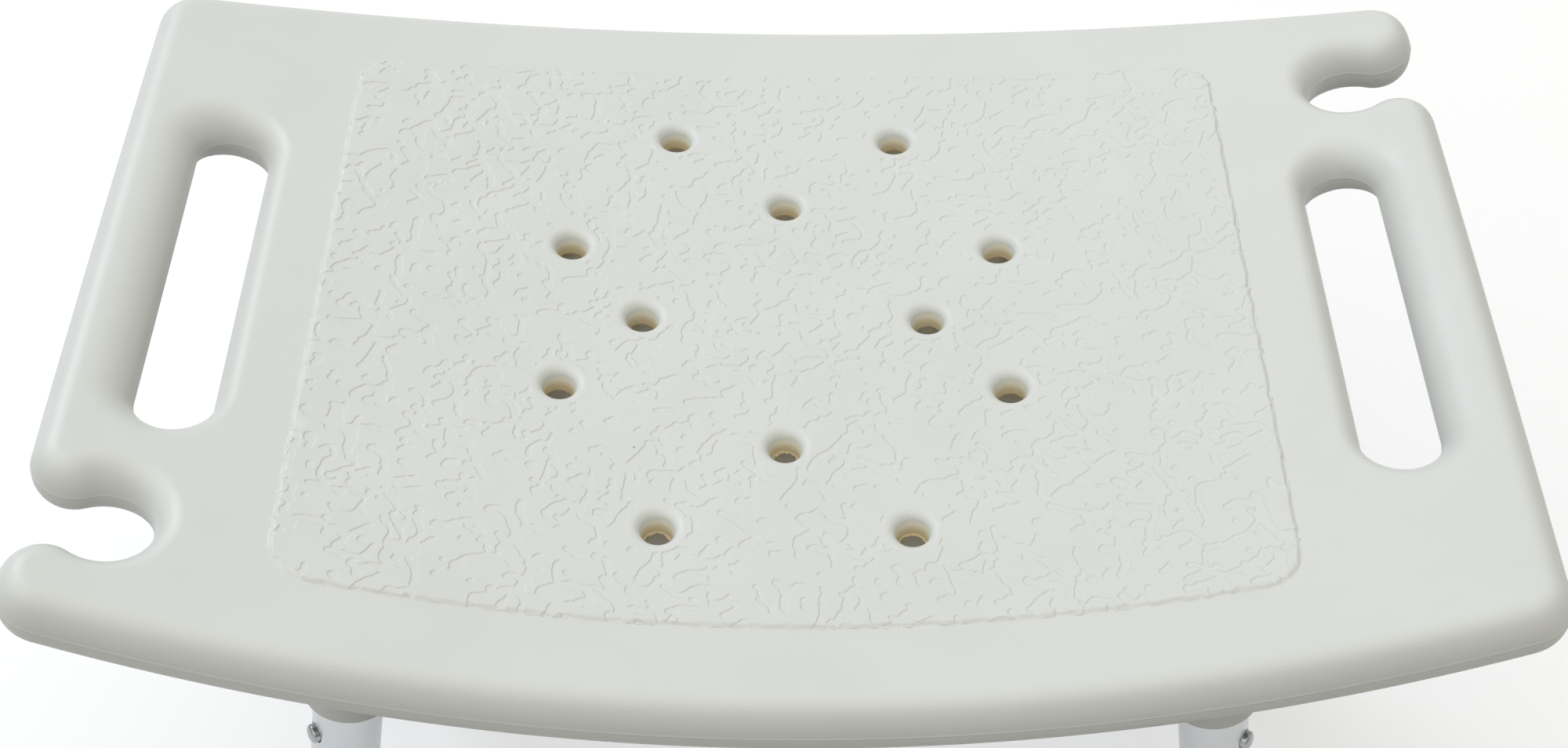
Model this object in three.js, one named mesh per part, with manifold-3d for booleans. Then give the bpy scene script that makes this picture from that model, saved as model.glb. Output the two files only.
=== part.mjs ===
// Bath bench: a blow-moulded seat board on four splayed, telescoping aluminium legs with a crossed brace.
// Millimetres, +Z up, +X to the right seen from the front, +Y to the back.
// The origin is on the floor, under the middle of the seat, with the legs at their shortest.
import * as THREE from "three";
import { TessellateModifier } from "three/addons/modifiers/TessellateModifier.js";
import { mergeVertices } from "three/addons/utils/BufferGeometryUtils.js";
import Module from "manifold-3d";

const wasm = await Module();
wasm.setup();

// Seat board
const seatHeight = 370;
const seatLength = 495;
const seatEndDepth = 296.4;
const seatBow = 19.8;
const seatEndBow = 0.6;
const seatRise = 34;
const seatThickness = 26;
const seatWall = 2.8;
const seatCornerRadius = 15;
const seatFacetLength = 84;

// Raised panel on the seat
const panelFromEnd = 78.5;
const panelInset = 33.5;
const panelCornerRadius = 14;
const panelHeight = 1.2;
const panelEdge = 1.4;

// Hand slots, one near each end, each moved a little away from the notch beside it
const slotFromEnd = 38.75;
const slotFromSide = 68.8;
const slotFromNotch = 42.3;
const slotWidth = 26;
const slotCornerRadius = 12.9;

// Shower-head notches, one at the front left and one at the back right
const notchFromEnd = 27.5;
const notchFromSide = 39.3;
const notchRadius = 15.1;
const notchLipRadius = 13.5;

// Drain holes, as columns and rows of the pattern on the flat board
const drainTopRadius = 5.6;
const drainThroatRadius = 5;
const drainThroatFromTop = 9;
const drainRimRadius = 4;
const drainWeld = 1.2;
const drainCupRadius = 8.5;
const drainCupTopRadius = 6.5;
const drainOuterColumn = 80.25;
const drainInnerColumn = 43.1;
const drainSideColumn = 52.3;
const drainFarRow = 95.4;
const drainMiddleRow = 59.1;
const drainNearRow = 34.1;
const ventRadius = 4;

// Legs
const legFromEnd = 102.5;
const legFromSide = 56.2;
const padDrop = 3.5;
const padRadius = 28;
const padDepth = 8;
const tubeRadius = 12.7;
const tubeWall = 1.25;
const tubeFromFloor = 95.12;
const extensionRadius = 11.1;
const extensionWall = 1.25;
const extensionHead = 30;
const lockPitch = 25;
const lockFromEnd = 20;
const lockFromCollar = 18;
const clearance = 0.3;
const lockClearance = 0.4;

// Leg sockets
const flangeRadius = 26;
const flangeThickness = 4;
const socketDepth = 42;
const socketRootRadius = 18;
const socketMouthRadius = 16.2;
const socketRibHeight = 12;
const socketRibWidth = 3;
const screwCircle = 21.6;
const screwCount = 3;

// Screws
const screwRadius = 1.8;
const screwBite = 9;
const screwHeadRadius = 3.4;
const screwHeadHeight = 2.4;
const pinFromPad = 25;
const pinPoke = 3;

// Crossed brace and its collars
const collarFromPad = 60;
const collarHeight = 24;
const collarRadius = 16.6;
const earLength = 34;
const earWidth = 27;
const earHeight = 17;
const earBoltFromEnd = 9;
const barWidth = 20;
const barThickness = 3;
const barFromLeg = 22;
const hubBoltRadius = 3;
const hubHeadRadius = 5.5;
const hubHeadHeight = 3.4;

// Snap button and its spring
const buttonRadius = 3.6;
const buttonProud = 2.6;
const springArm = 50;
const springWidth = 7;
const springThickness = 0.8;
const springInset = 1.35;
const springBackShare = 0.7;

// Bush at the tube's lower end
const bushHeight = 14;
const bushRadius = 14.8;
const bushLip = 2.4;

// Rubber foot
const soleRadius = 21;
const soleHeight = 8;
const soleChamfer = 1.6;
const soleGrooveRadius = 12.5;
const soleGrooveWidth = 2.6;
const soleGrooveDepth = 1.4;
const footSleeveRadius = 15;
const footSleeveHeight = 36;
const footRibRadius = 16.4;
const footRibHeight = 3;

const roundSides = 16;
const smallSides = 8;
const drainSides = 10;
const drainRimSteps = 3;
const nutSides = 6;
const overrun = 3;

// Steps in the board's round edge, its bowed sides, its corners and lips, and its notches
const skinSteps = { edge: 3, bow: 14, corner: 4, pocket: 10 };
const hollowSteps = { edge: 2, bow: 8, corner: 2, pocket: 6 };

const edgeRadius = seatThickness / 2;
const seatHalf = seatLength / 2;
const panelHalf = seatHalf - panelFromEnd;
const middleHeight = seatHeight - edgeRadius - panelHeight;
const notchFromMiddle = seatEndDepth / 2 - notchFromSide;
const slotLength = seatEndDepth - slotFromSide - slotFromNotch - notchFromSide;
const slotShift = (notchFromSide + slotFromNotch - slotFromSide) / 2;
const legColumn = seatHalf - legFromEnd;
const legRow = seatEndDepth / 2 - legFromSide;
const quarter = Math.PI / 2;

const materials = {
  seat: new THREE.MeshStandardMaterial({ color: 0xdcded9, roughness: 0.42, metalness: 0 }),
  nylon: new THREE.MeshStandardMaterial({ color: 0xc9cbc7, roughness: 0.5, metalness: 0 }),
  aluminium: new THREE.MeshStandardMaterial({ color: 0xc4c7ca, roughness: 0.34, metalness: 1 }),
  steel: new THREE.MeshStandardMaterial({ color: 0xa9acae, roughness: 0.3, metalness: 1 }),
  rubber: new THREE.MeshStandardMaterial({ color: 0x6d7072, roughness: 0.85, metalness: 0 }),
};

const bench = new THREE.Group();

// Solids: a closed geometry becomes one that can be joined and cut, and back again
function solid(geometry) {
  const bare = geometry.index ? geometry.toNonIndexed() : geometry.clone();
  for (const name of Object.keys(bare.attributes)) {
    if (name !== "position") bare.deleteAttribute(name);
  }
  const merged = mergeVertices(bare, overrun * 1e-5);
  const corners = Array.from(merged.index.array);
  const kept = [];
  for (let i = 0; i < corners.length; i += 3) {
    const [a, b, c] = corners.slice(i, i + 3);
    if (a !== b && b !== c && c !== a) kept.push(a, b, c);
  }
  const vertProperties = merged.attributes.position.array;
  const made = new wasm.Manifold(
    new wasm.Mesh({ numProp: 3, vertProperties, triVerts: new Uint32Array(kept) }),
  );
  if (made.volume() > 0) return made;
  const turned = new Uint32Array(kept.reverse());
  return new wasm.Manifold(new wasm.Mesh({ numProp: 3, vertProperties, triVerts: turned }));
}

function geometryOf(made) {
  const { vertProperties, triVerts } = made.getMesh();
  const geometry = new THREE.BufferGeometry();
  geometry.setAttribute("position", new THREE.BufferAttribute(new Float32Array(vertProperties), 3));
  geometry.setIndex(Array.from(triVerts));
  geometry.computeVertexNormals();
  return geometry;
}

function addMesh(name, made, material, parent) {
  const mesh = new THREE.Mesh(geometryOf(made), material);
  mesh.name = name;
  parent.add(mesh);
  return mesh;
}

// A turned piece about Z, from [radius, z] points that start and end on the axis or close on themselves
function turned(points, sides = roundSides) {
  const profile = points.map(([radius, z]) => new THREE.Vector2(radius, z));
  return new THREE.LatheGeometry(profile, sides).rotateX(quarter).rotateZ(Math.PI / sides);
}

function rod(radius, low, high, sides = roundSides) {
  return turned([[0, low], [radius, low], [radius, high], [0, high]], sides);
}

function pipe(inner, outer, low, high, sides = roundSides) {
  return turned([[inner, low], [outer, low], [outer, high], [inner, high], [inner, low]], sides);
}

// A block between two corners
function block(low, high) {
  const size = high.map((value, i) => value - low[i]);
  const middle = high.map((value, i) => (value + low[i]) / 2);
  return new THREE.BoxGeometry(...size).translate(...middle);
}

// A solid from loops of equal point counts, stacked from the bottom up
function stacked(loops) {
  const count = loops[0].length;
  const faces = [];
  for (let level = 0; level < loops.length - 1; level += 1) {
    for (let i = 0; i < count; i += 1) {
      const a = level * count + i;
      const b = level * count + ((i + 1) % count);
      faces.push([a, b, b + count], [a, b + count, a + count]);
    }
  }
  const cap = (loop) => {
    const flat = loop.map(([x, y]) => new THREE.Vector2(x, y));
    return THREE.ShapeUtils.triangulateShape(flat, []);
  };
  const last = (loops.length - 1) * count;
  for (const [a, b, c] of cap(loops[0])) faces.push([c, b, a]);
  for (const [a, b, c] of cap(loops.at(-1))) faces.push([a + last, b + last, c + last]);
  const geometry = new THREE.BufferGeometry();
  geometry.setAttribute("position", new THREE.Float32BufferAttribute(loops.flat(2), 3));
  geometry.setIndex(faces.flat());
  return geometry;
}

// Points on an arc in plan
function arc(x, y, radius, from, to, steps) {
  return Array.from({ length: steps + 1 }, (_, i) => {
    const angle = from + ((to - from) * i) / steps;
    return [x + radius * Math.cos(angle), y + radius * Math.sin(angle)];
  });
}

// Half the seat's depth at a distance from its middle
function halfDepth(x) {
  return seatEndDepth / 2 + seatBow * (1 - (x / seatHalf) ** 2);
}

// Seat outline in plan, drawn in from the parting line by an inset.
// One end holds the notch between two round lips, and the other end is its half turn.
function seatOutline(inset, steps) {
  const end = seatHalf - inset;
  const corner = seatCornerRadius - inset;
  const cornerX = end - corner;
  const cornerY = halfDepth(cornerX) - inset - corner;
  const front = Array.from({ length: steps.bow + 1 }, (_, i) => {
    const x = -cornerX + (2 * cornerX * i) / steps.bow;
    return [x, -(halfDepth(x) - inset)];
  });
  const pocket = notchRadius + inset;
  const lip = notchLipRadius - inset;
  const pocketX = seatHalf - notchFromEnd;
  const lipX = end - lip;
  const lipY = Math.sqrt((pocket + lip) ** 2 - (lipX - pocketX) ** 2);
  const towards = Math.atan2(lipY, pocketX - lipX);
  const half = [
    ...front.slice(1, -1),
    ...arc(cornerX, -cornerY, corner, -quarter, 0, steps.corner),
    ...arc(lipX, notchFromMiddle - lipY, lip, 0, towards, steps.corner),
    ...arc(pocketX, notchFromMiddle, pocket, towards - Math.PI, -Math.PI - towards, steps.pocket)
      .slice(1, -1),
    ...arc(lipX, notchFromMiddle + lipY, lip, -towards, 0, steps.corner),
    ...arc(cornerX, cornerY, corner, 0, quarter, steps.corner),
  ].map(([x, y]) => [x + (seatEndBow * x * (1 - (2 * y / seatEndDepth) ** 2)) / seatHalf, y]);
  return [...half, ...half.map(([x, y]) => [-x, -y])];
}

// Hand slot outline in plan; the inset widens it
function slotOutline(side, inset, steps) {
  const halfWidth = slotWidth / 2 + inset;
  const halfLength = slotLength / 2 + inset;
  const corner = Math.min(slotCornerRadius + inset, halfWidth);
  const x = side * (seatHalf - slotFromEnd);
  const loop = [];
  for (let k = 0; k < 4; k += 1) {
    const signX = k === 0 || k === 3 ? 1 : -1;
    const signY = k < 2 ? 1 : -1;
    const middleX = x + signX * (halfWidth - corner);
    const middleY = signY * (halfLength - corner) - side * slotShift;
    loop.push(...arc(middleX, middleY, corner, k * quarter, (k + 1) * quarter, steps.corner));
  }
  return loop;
}

// The board with round edges, or the hollow inside it, by the radius of its edge.
// A slot is cut by a solid that widens upwards and downwards as the round edge does.
function board(radius, steps) {
  const levels = Array.from({ length: 2 * steps.edge + 1 }, (_, i) => (i / steps.edge - 1) * quarter);
  const stackOf = (outline) =>
    levels.map((angle) => {
      const inset = edgeRadius - radius * Math.cos(angle);
      return outline(inset, steps).map(([x, y]) => [x, y, radius * Math.sin(angle)]);
    });
  let made = solid(stacked(stackOf(seatOutline)));
  for (const side of [-1, 1]) {
    const stack = stackOf((inset) => slotOutline(side, inset, steps));
    const lifted = (loop, rise) => loop.map(([x, y, z]) => [x, y, z + rise]);
    const cut = [lifted(stack[0], -overrun), ...stack, lifted(stack.at(-1), overrun)];
    made = made.subtract(solid(stacked(cut)));
  }
  return made;
}

// Raised panel, with its front and back edges parallel to the board's
function panel() {
  const loop = (inset, z) => {
    const corner = panelCornerRadius - inset;
    const cornerX = panelHalf - inset - corner;
    const edge = (x) => halfDepth(x) - panelInset - inset;
    const cornerY = edge(cornerX) - corner;
    const bowSteps = 10;
    const front = Array.from({ length: bowSteps - 1 }, (_, i) => {
      const x = -cornerX + (2 * cornerX * (i + 1)) / bowSteps;
      return [x, -edge(x)];
    });
    const half = [
      ...front,
      ...arc(cornerX, -cornerY, corner, -quarter, 0, 3),
      ...arc(cornerX, cornerY, corner, 0, quarter, 3),
    ];
    return [...half, ...half.map(([x, y]) => [-x, -y])].map(([x, y]) => [x, y, z]);
  };
  const low = edgeRadius - seatWall / 2;
  return solid(
    stacked([
      loop(0, low),
      loop(0, edgeRadius),
      loop(panelEdge / 3, edgeRadius + panelHeight * 0.7),
      loop(panelEdge, edgeRadius + panelHeight),
    ]),
  );
}

function drainPlaces() {
  const places = [[0, drainMiddleRow], [drainSideColumn, 0]];
  for (const side of [-1, 1]) {
    places.push([side * drainInnerColumn, drainFarRow], [side * drainOuterColumn, drainNearRow]);
  }
  return [...places, ...places.map(([x, y]) => [-x, -y])];
}

// The flat board is bent about Y by moving each point along the saddle's own normal
function saddle(x) {
  return { height: seatRise * (x / seatHalf) ** 2, slope: (2 * seatRise * x) / seatHalf ** 2 };
}

function bent(made) {
  const loose = geometryOf(made).toNonIndexed();
  loose.deleteAttribute("normal");
  const geometry = new TessellateModifier(seatFacetLength, 16).modify(loose);
  const place = geometry.attributes.position;
  for (let i = 0; i < place.count; i += 1) {
    const { height, slope } = saddle(place.getX(i));
    const rise = place.getZ(i);
    const tilt = Math.atan(slope);
    place.setX(i, place.getX(i) - rise * Math.sin(tilt));
    place.setZ(i, middleHeight + height + rise * Math.cos(tilt));
  }
  return solid(geometry);
}

// Each leg has a frame of its own: its origin is the middle of the pad that the socket is screwed to,
// its Z runs up the leg, and its X points away from the middle of the bench
const { height: legRise, slope: legSlope } = saddle(legColumn);
const padHeight = middleHeight + legRise - edgeRadius * Math.hypot(1, legSlope) - padDrop;
const legAzimuth = Math.atan2(legRow, legColumn);
const legReach = Math.hypot(legColumn, legRow);
const legSplay = Math.atan(legSlope / Math.cos(legAzimuth));
const legLength = padHeight / Math.cos(legSplay);
const tubeEnd = legLength - tubeFromFloor;
const legs = [
  { name: "front_left", azimuth: Math.PI + legAzimuth, barSide: 1 },
  { name: "front_right", azimuth: -legAzimuth, barSide: -1 },
  { name: "back_left", azimuth: Math.PI - legAzimuth, barSide: -1 },
  { name: "back_right", azimuth: legAzimuth, barSide: 1 },
];

function legMatrix({ azimuth }) {
  const x = legReach * Math.cos(azimuth);
  const y = legReach * Math.sin(azimuth);
  return new THREE.Matrix4()
    .makeTranslation(x, y, padHeight)
    .multiply(new THREE.Matrix4().makeRotationZ(azimuth))
    .multiply(new THREE.Matrix4().makeRotationY(-legSplay));
}

// Screw places on a socket's flange, with one between the leg and the end of the seat
function flangeScrews() {
  return Array.from({ length: screwCount }, (_, i) => {
    const angle = ((2 * i + 1) * Math.PI) / screwCount;
    return [screwCircle * Math.cos(angle), screwCircle * Math.sin(angle)];
  });
}

// What a drain hole takes out of the board: a narrow tube from above and a wide cup from below,
// which meet in a weld that the hole is punched through
function drain() {
  const top = edgeRadius + panelHeight;
  const throat = top - drainThroatFromTop;
  const mouth = drainTopRadius + drainRimRadius;
  const rim = arc(mouth, top - drainRimRadius, drainRimRadius, 2 * quarter, quarter, drainRimSteps);
  return turned(
    [
      [0, -edgeRadius - overrun],
      [drainCupRadius, -edgeRadius - overrun],
      [drainCupRadius, -edgeRadius],
      [drainCupTopRadius, throat - drainWeld],
      [drainThroatRadius, throat - drainWeld],
      [drainThroatRadius, throat],
      ...rim,
      [mouth, top + overrun],
      [0, top + overrun],
    ],
    drainSides,
  );
}

// Seat: the hollow board with its drain tubes, its leg pads and the hole that the blowing pin leaves
function seat() {
  let hollow = board(edgeRadius - seatWall, hollowSteps);
  let cuts = null;
  for (const [x, y] of drainPlaces()) {
    const column = rod(drainCupRadius + seatWall, -seatThickness, seatThickness, smallSides);
    hollow = hollow.subtract(solid(column.translate(x, y, 0)));
    const cut = solid(drain().translate(x, y, 0));
    cuts = cuts ? cuts.add(cut) : cut;
  }
  for (const side of [-1, 1]) {
    for (const end of [-1, 1]) {
      const pad = rod(padRadius + seatWall, -seatThickness, seatWall + padDepth - edgeRadius);
      hollow = hollow.subtract(solid(pad.translate(side * legColumn, end * legRow, 0)));
    }
  }
  const vent = solid(rod(ventRadius, -edgeRadius - overrun, seatWall + overrun - edgeRadius, smallSides));
  const flat = board(edgeRadius, skinSteps)
    .add(panel())
    .subtract(hollow)
    .subtract(cuts)
    .subtract(vent);
  let made = bent(flat);
  for (const leg of legs) {
    const matrix = legMatrix(leg);
    made = made.add(solid(rod(padRadius, 0, padDepth).applyMatrix4(matrix)));
    for (const [x, y] of flangeScrews()) {
      const hole = rod(screwRadius + clearance, -overrun, screwBite + clearance, smallSides);
      made = made.subtract(solid(hole.translate(x, y, 0).applyMatrix4(matrix)));
    }
  }
  return made;
}

// Pan-head screw along Z, with its shank up from the underside of its head
function screw(shankRadius, shankLength, headRadius, headHeight) {
  const point = shankRadius / 2;
  return turned(
    [
      [0, -headHeight],
      [headRadius * 0.7, -headHeight],
      [headRadius, -headHeight * 0.5],
      [headRadius, 0],
      [shankRadius, 0],
      [shankRadius, shankLength - point],
      [point, shankLength],
      [0, shankLength],
    ],
    smallSides,
  );
}

// Leg socket: a flanged nylon cup with ribs, whose flange lies on the seat's pad
const flangeLow = -clearance - flangeThickness;
function socket() {
  const bore = tubeRadius + clearance;
  const made = turned([
    [0, -clearance],
    [0, flangeLow + clearance],
    [bore, flangeLow + clearance],
    [bore, -socketDepth],
    [socketMouthRadius, -socketDepth],
    [socketRootRadius, flangeLow],
    [flangeRadius, flangeLow],
    [flangeRadius, -clearance],
    [0, -clearance],
  ]);
  let body = solid(made);
  const hollowed = solid(rod(bore, -socketDepth - overrun, flangeLow + clearance));
  for (let i = 0; i < screwCount; i += 1) {
    const rib = block(
      [0, -socketRibWidth / 2, flangeLow - socketRibHeight],
      [flangeRadius - overrun, socketRibWidth / 2, flangeLow + clearance],
    );
    body = body.add(solid(rib.rotateZ((2 * i * Math.PI) / screwCount)).subtract(hollowed));
  }
  for (const [x, y] of flangeScrews()) {
    const hole = rod(screwRadius + clearance, -flangeThickness - overrun, overrun, smallSides);
    body = body.subtract(solid(hole.translate(x, y, 0)));
  }
  return body.subtract(pinHole());
}

function pinHole() {
  const hole = rod(screwRadius + clearance, 0, socketRootRadius + overrun, smallSides);
  return solid(hole.rotateY(quarter).rotateZ(Math.PI).translate(0, 0, -pinFromPad));
}

// Snap holes, as many as fit on the tube below its collar; the button rests in the highest of them
const lockSpan = tubeEnd - lockFromEnd - (collarFromPad + collarHeight / 2 + lockFromCollar);
const lockCount = 1 + Math.floor(lockSpan / lockPitch);
const firstLock = tubeEnd - lockFromEnd - lockPitch * (lockCount - 1);

function lockHole(radius, down) {
  return solid(rod(radius, 0, tubeRadius + overrun, smallSides).rotateY(quarter).translate(0, 0, -down));
}

const tubeTop = flangeLow - clearance;
function upperTube() {
  let made = solid(pipe(tubeRadius - tubeWall, tubeRadius, -tubeEnd, tubeTop));
  for (let i = 0; i < lockCount; i += 1) {
    made = made.subtract(lockHole(buttonRadius + lockClearance, firstLock + i * lockPitch));
  }
  return made.subtract(pinHole());
}

// Extension tube, from above the snap button down into the foot
const extensionTop = extensionHead - firstLock;
const extensionEnd = soleHeight + clearance - legLength;
function extensionTube() {
  const made = solid(pipe(extensionRadius - extensionWall, extensionRadius, extensionEnd, extensionTop));
  return made.subtract(lockHole(buttonRadius + lockClearance, firstLock));
}

// Snap button on the free arm of its spring
const armOut = extensionRadius - extensionWall - springInset;
const springRoot = -firstLock - springArm;
function snapButton() {
  const reach = tubeRadius + buttonProud;
  const start = armOut - springThickness / 2;
  const head = turned(
    [
      [0, start],
      [buttonRadius, start],
      [buttonRadius, reach - buttonRadius * 0.4],
      [buttonRadius * 0.7, reach - buttonRadius * 0.1],
      [0, reach],
    ],
    smallSides,
  );
  const arm = block(
    [armOut - springThickness, -springWidth / 2, springRoot],
    [armOut, springWidth / 2, buttonRadius + clearance - firstLock],
  );
  return solid(head.rotateY(quarter).translate(0, 0, -firstLock)).add(solid(arm));
}

// The rest of the spring: its bend and the arm that bears on the tube's far wall
function buttonSpring() {
  const low = springRoot - clearance;
  const inner = armOut - springThickness;
  const shape = new THREE.Shape();
  shape.moveTo(armOut, low);
  shape.absarc(0, low, armOut, 0, -Math.PI, true);
  shape.lineTo(-armOut, low + springArm * springBackShare);
  shape.lineTo(-inner, low + springArm * springBackShare);
  shape.lineTo(-inner, low);
  shape.absarc(0, low, inner, -Math.PI, 0, false);
  shape.closePath();
  const strip = new THREE.ExtrudeGeometry(shape, {
    depth: springWidth,
    bevelEnabled: false,
    curveSegments: smallSides / 2,
  });
  return solid(strip.rotateX(quarter).translate(0, springWidth / 2, 0));
}

// Bush that guides the extension at the tube's lower end
function bush() {
  const low = -tubeEnd - clearance;
  const inner = extensionRadius + clearance;
  const outer = tubeRadius + clearance;
  return solid(
    turned([
      [inner, low - bushLip],
      [bushRadius, low - bushLip],
      [bushRadius, low + bushHeight],
      [outer, low + bushHeight],
      [outer, low],
      [inner, low],
      [inner, low - bushLip],
    ]),
  );
}

// A geometry made level with the floor, stood at a height on the leg
function levelled(geometry, z) {
  return geometry.rotateY(legSplay).translate(0, 0, z);
}

// Collar on the tube with a forked ear that takes the end of a brace bar
const barGap = (barThickness + clearance) / 2;
function collar(barSide) {
  const middle = -collarFromPad;
  const bore = solid(rod(tubeRadius + clearance, middle - 2 * collarHeight, middle + 2 * collarHeight));
  const ring = solid(rod(collarRadius, middle - collarHeight / 2, middle + collarHeight / 2));
  const ear = block(
    [-tubeRadius - earLength, -earWidth / 2, -earHeight / 2],
    [0, earWidth / 2, earHeight / 2],
  );
  const barZ = barSide * barGap;
  const fork = block(
    [-tubeRadius - earLength - overrun, -earWidth, barZ - barThickness / 2 - clearance],
    [-barFromLeg + clearance, earWidth, barZ + barThickness / 2 + clearance],
  );
  const bolt = rod(screwRadius + clearance, -earHeight, earHeight / 2 - seatWall, smallSides);
  const boltX = earBoltFromEnd - tubeRadius - earLength;
  return ring
    .add(solid(levelled(ear, middle)))
    .subtract(solid(levelled(fork, middle)))
    .subtract(solid(levelled(bolt.translate(boltX, 0, 0), middle)))
    .subtract(bore);
}

// Screw up through the ear and the bar
function collarScrew() {
  const made = screw(screwRadius, earHeight - seatWall - clearance, screwHeadRadius, screwHeadHeight);
  const x = earBoltFromEnd - tubeRadius - earLength;
  return solid(levelled(made.translate(x, 0, -earHeight / 2 - clearance), -collarFromPad));
}

// Rubber foot: a sleeve up the leg on a sole that lies flat on the floor
function foot() {
  const mouth = soleHeight - legLength + footSleeveHeight;
  const sleeve = solid(
    turned([
      [0, -legLength + soleChamfer],
      [footSleeveRadius, -legLength + soleChamfer],
      [footSleeveRadius, mouth - 2 * footRibHeight],
      [footRibRadius, mouth - 1.6 * footRibHeight],
      [footRibRadius, mouth - 0.6 * footRibHeight],
      [footSleeveRadius, mouth],
      [0, mouth],
    ]),
  );
  const sole = turned([
    [0, soleGrooveDepth / 4],
    [0, soleHeight],
    [footSleeveRadius, soleHeight],
    [soleRadius, soleHeight - 2 * soleChamfer],
    [soleRadius, soleChamfer],
    [soleRadius - soleChamfer, 0],
    [soleGrooveRadius, 0],
    [soleGrooveRadius, soleGrooveDepth],
    [soleGrooveRadius - soleGrooveWidth, soleGrooveDepth],
    [soleGrooveRadius - soleGrooveWidth, 0],
    [0, 0],
    [0, soleGrooveDepth / 4],
  ]);
  const bore = solid(rod(extensionRadius + clearance, soleHeight - legLength, mouth + overrun));
  const below = block([-legLength, -legLength, -legLength], [legLength, legLength, 0]);
  return sleeve
    .subtract(solid(levelled(below, -legLength)))
    .add(solid(levelled(sole, -legLength)))
    .subtract(bore);
}

// A flat brace bar along X, with round ends, a hole for each screw and one for the hub bolt
function bar(halfLength, holes) {
  const shape = new THREE.Shape();
  const round = barWidth / 2;
  shape.moveTo(round - halfLength, -round);
  shape.lineTo(halfLength - round, -round);
  shape.absarc(halfLength - round, 0, round, -quarter, quarter, false);
  shape.lineTo(round - halfLength, round);
  shape.absarc(round - halfLength, 0, round, quarter, 3 * quarter, false);
  for (const [x, radius] of holes) {
    shape.holes.push(new THREE.Path().absarc(x, 0, radius, 0, 4 * quarter, true));
  }
  return new THREE.ExtrudeGeometry(shape, {
    depth: barThickness,
    bevelEnabled: false,
    curveSegments: smallSides,
  }).translate(0, 0, -barThickness / 2);
}

addMesh("seat", seat(), materials.seat, bench);

for (const leg of legs) {
  const group = new THREE.Group();
  legMatrix(leg).decompose(group.position, group.quaternion, group.scale);
  bench.add(group);
  const add = (name, made, material) => addMesh(`${name}_${leg.name}`, made, material, group);
  add("leg_socket", socket(), materials.nylon);
  flangeScrews().forEach(([x, y], i) => {
    const length = flangeThickness + 2 * clearance + screwBite;
    const made = screw(screwRadius, length, screwHeadRadius, screwHeadHeight);
    const placed = solid(made.translate(x, y, flangeLow - clearance));
    add(`socket_screw_${"abc"[i]}`, placed, materials.steel);
  });
  const pinReach = socketRootRadius - tubeRadius + tubeWall + pinPoke;
  const pin = screw(screwRadius, pinReach, screwHeadRadius, screwHeadHeight);
  pin.rotateY(quarter).translate(-socketRootRadius - clearance, 0, -pinFromPad);
  add("tube_screw", solid(pin), materials.steel);
  add("upper_tube", upperTube(), materials.aluminium);
  add("brace_collar", collar(leg.barSide), materials.nylon);
  add("brace_screw", collarScrew(), materials.steel);
  add("tube_bush", bush(), materials.nylon);
  add("extension_tube", extensionTube(), materials.aluminium);
  add("snap_button", snapButton(), materials.steel);
  add("button_spring", buttonSpring(), materials.steel);
  add("foot", foot(), materials.rubber);
}

// Crossed brace: two flat bars that pass over each other, held in the middle by a bolt and a nut
const braceHeight = padHeight - collarFromPad * Math.cos(legSplay);
const collarReach = legReach + collarFromPad * Math.sin(legSplay);
const barHalf = collarReach - barFromLeg;
const barScrewReach = collarReach + earBoltFromEnd - tubeRadius - earLength;
for (const [name, side] of [["upper", 1], ["lower", -1]]) {
  const holes = [
    [-barScrewReach, screwRadius + clearance],
    [0, hubBoltRadius + clearance],
    [barScrewReach, screwRadius + clearance],
  ];
  const made = bar(barHalf, holes).rotateZ(side * legAzimuth).translate(0, 0, braceHeight + side * barGap);
  addMesh(`brace_bar_${name}`, solid(made), materials.aluminium, bench);
}
const hubLow = braceHeight - barGap - barThickness / 2 - clearance;
const hubHigh = braceHeight + barGap + barThickness / 2 + clearance;
const hubLength = hubHigh - hubLow + hubHeadHeight + overrun;
const hubBolt = screw(hubBoltRadius, hubLength, hubHeadRadius, hubHeadHeight);
addMesh("brace_hub_bolt", solid(hubBolt.translate(0, 0, hubLow)), materials.steel, bench);
const nutTop = hubHigh + hubHeadHeight;
const hubNut = solid(rod(hubHeadRadius, hubHigh, nutTop, nutSides));
const hubThread = solid(rod(hubBoltRadius + clearance, hubLow, nutTop + overrun, smallSides));
addMesh("brace_hub_nut", hubNut.subtract(hubThread), materials.steel, bench);

export default bench;
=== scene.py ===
# Bath bench, dressed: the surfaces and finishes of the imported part, in the part's own frame.
import math

import bmesh
import bpy
import numpy as np
from mathutils import Matrix, Vector
from mathutils.geometry import delaunay_2d_cdt


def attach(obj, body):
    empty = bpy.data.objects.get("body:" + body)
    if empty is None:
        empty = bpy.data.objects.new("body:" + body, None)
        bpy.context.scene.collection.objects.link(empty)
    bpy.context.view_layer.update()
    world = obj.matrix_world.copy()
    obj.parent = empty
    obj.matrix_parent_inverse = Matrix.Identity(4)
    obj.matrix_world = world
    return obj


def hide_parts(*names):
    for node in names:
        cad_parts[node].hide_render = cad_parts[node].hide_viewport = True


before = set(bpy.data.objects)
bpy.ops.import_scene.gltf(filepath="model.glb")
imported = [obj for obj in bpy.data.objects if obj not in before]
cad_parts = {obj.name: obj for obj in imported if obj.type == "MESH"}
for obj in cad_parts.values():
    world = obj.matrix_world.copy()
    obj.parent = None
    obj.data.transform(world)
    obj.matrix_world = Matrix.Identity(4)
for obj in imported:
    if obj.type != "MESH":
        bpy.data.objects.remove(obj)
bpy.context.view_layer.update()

# Camera: in front of the bench and above it, so that the seat fills the picture from edge to edge.
# Its place and turn follow from how the outline, the slots and the drain holes lie in the photograph.
MM = 0.001
photo_width_px = 2000
focal_length_px = 2794.4
sensor_width = 36
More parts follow.
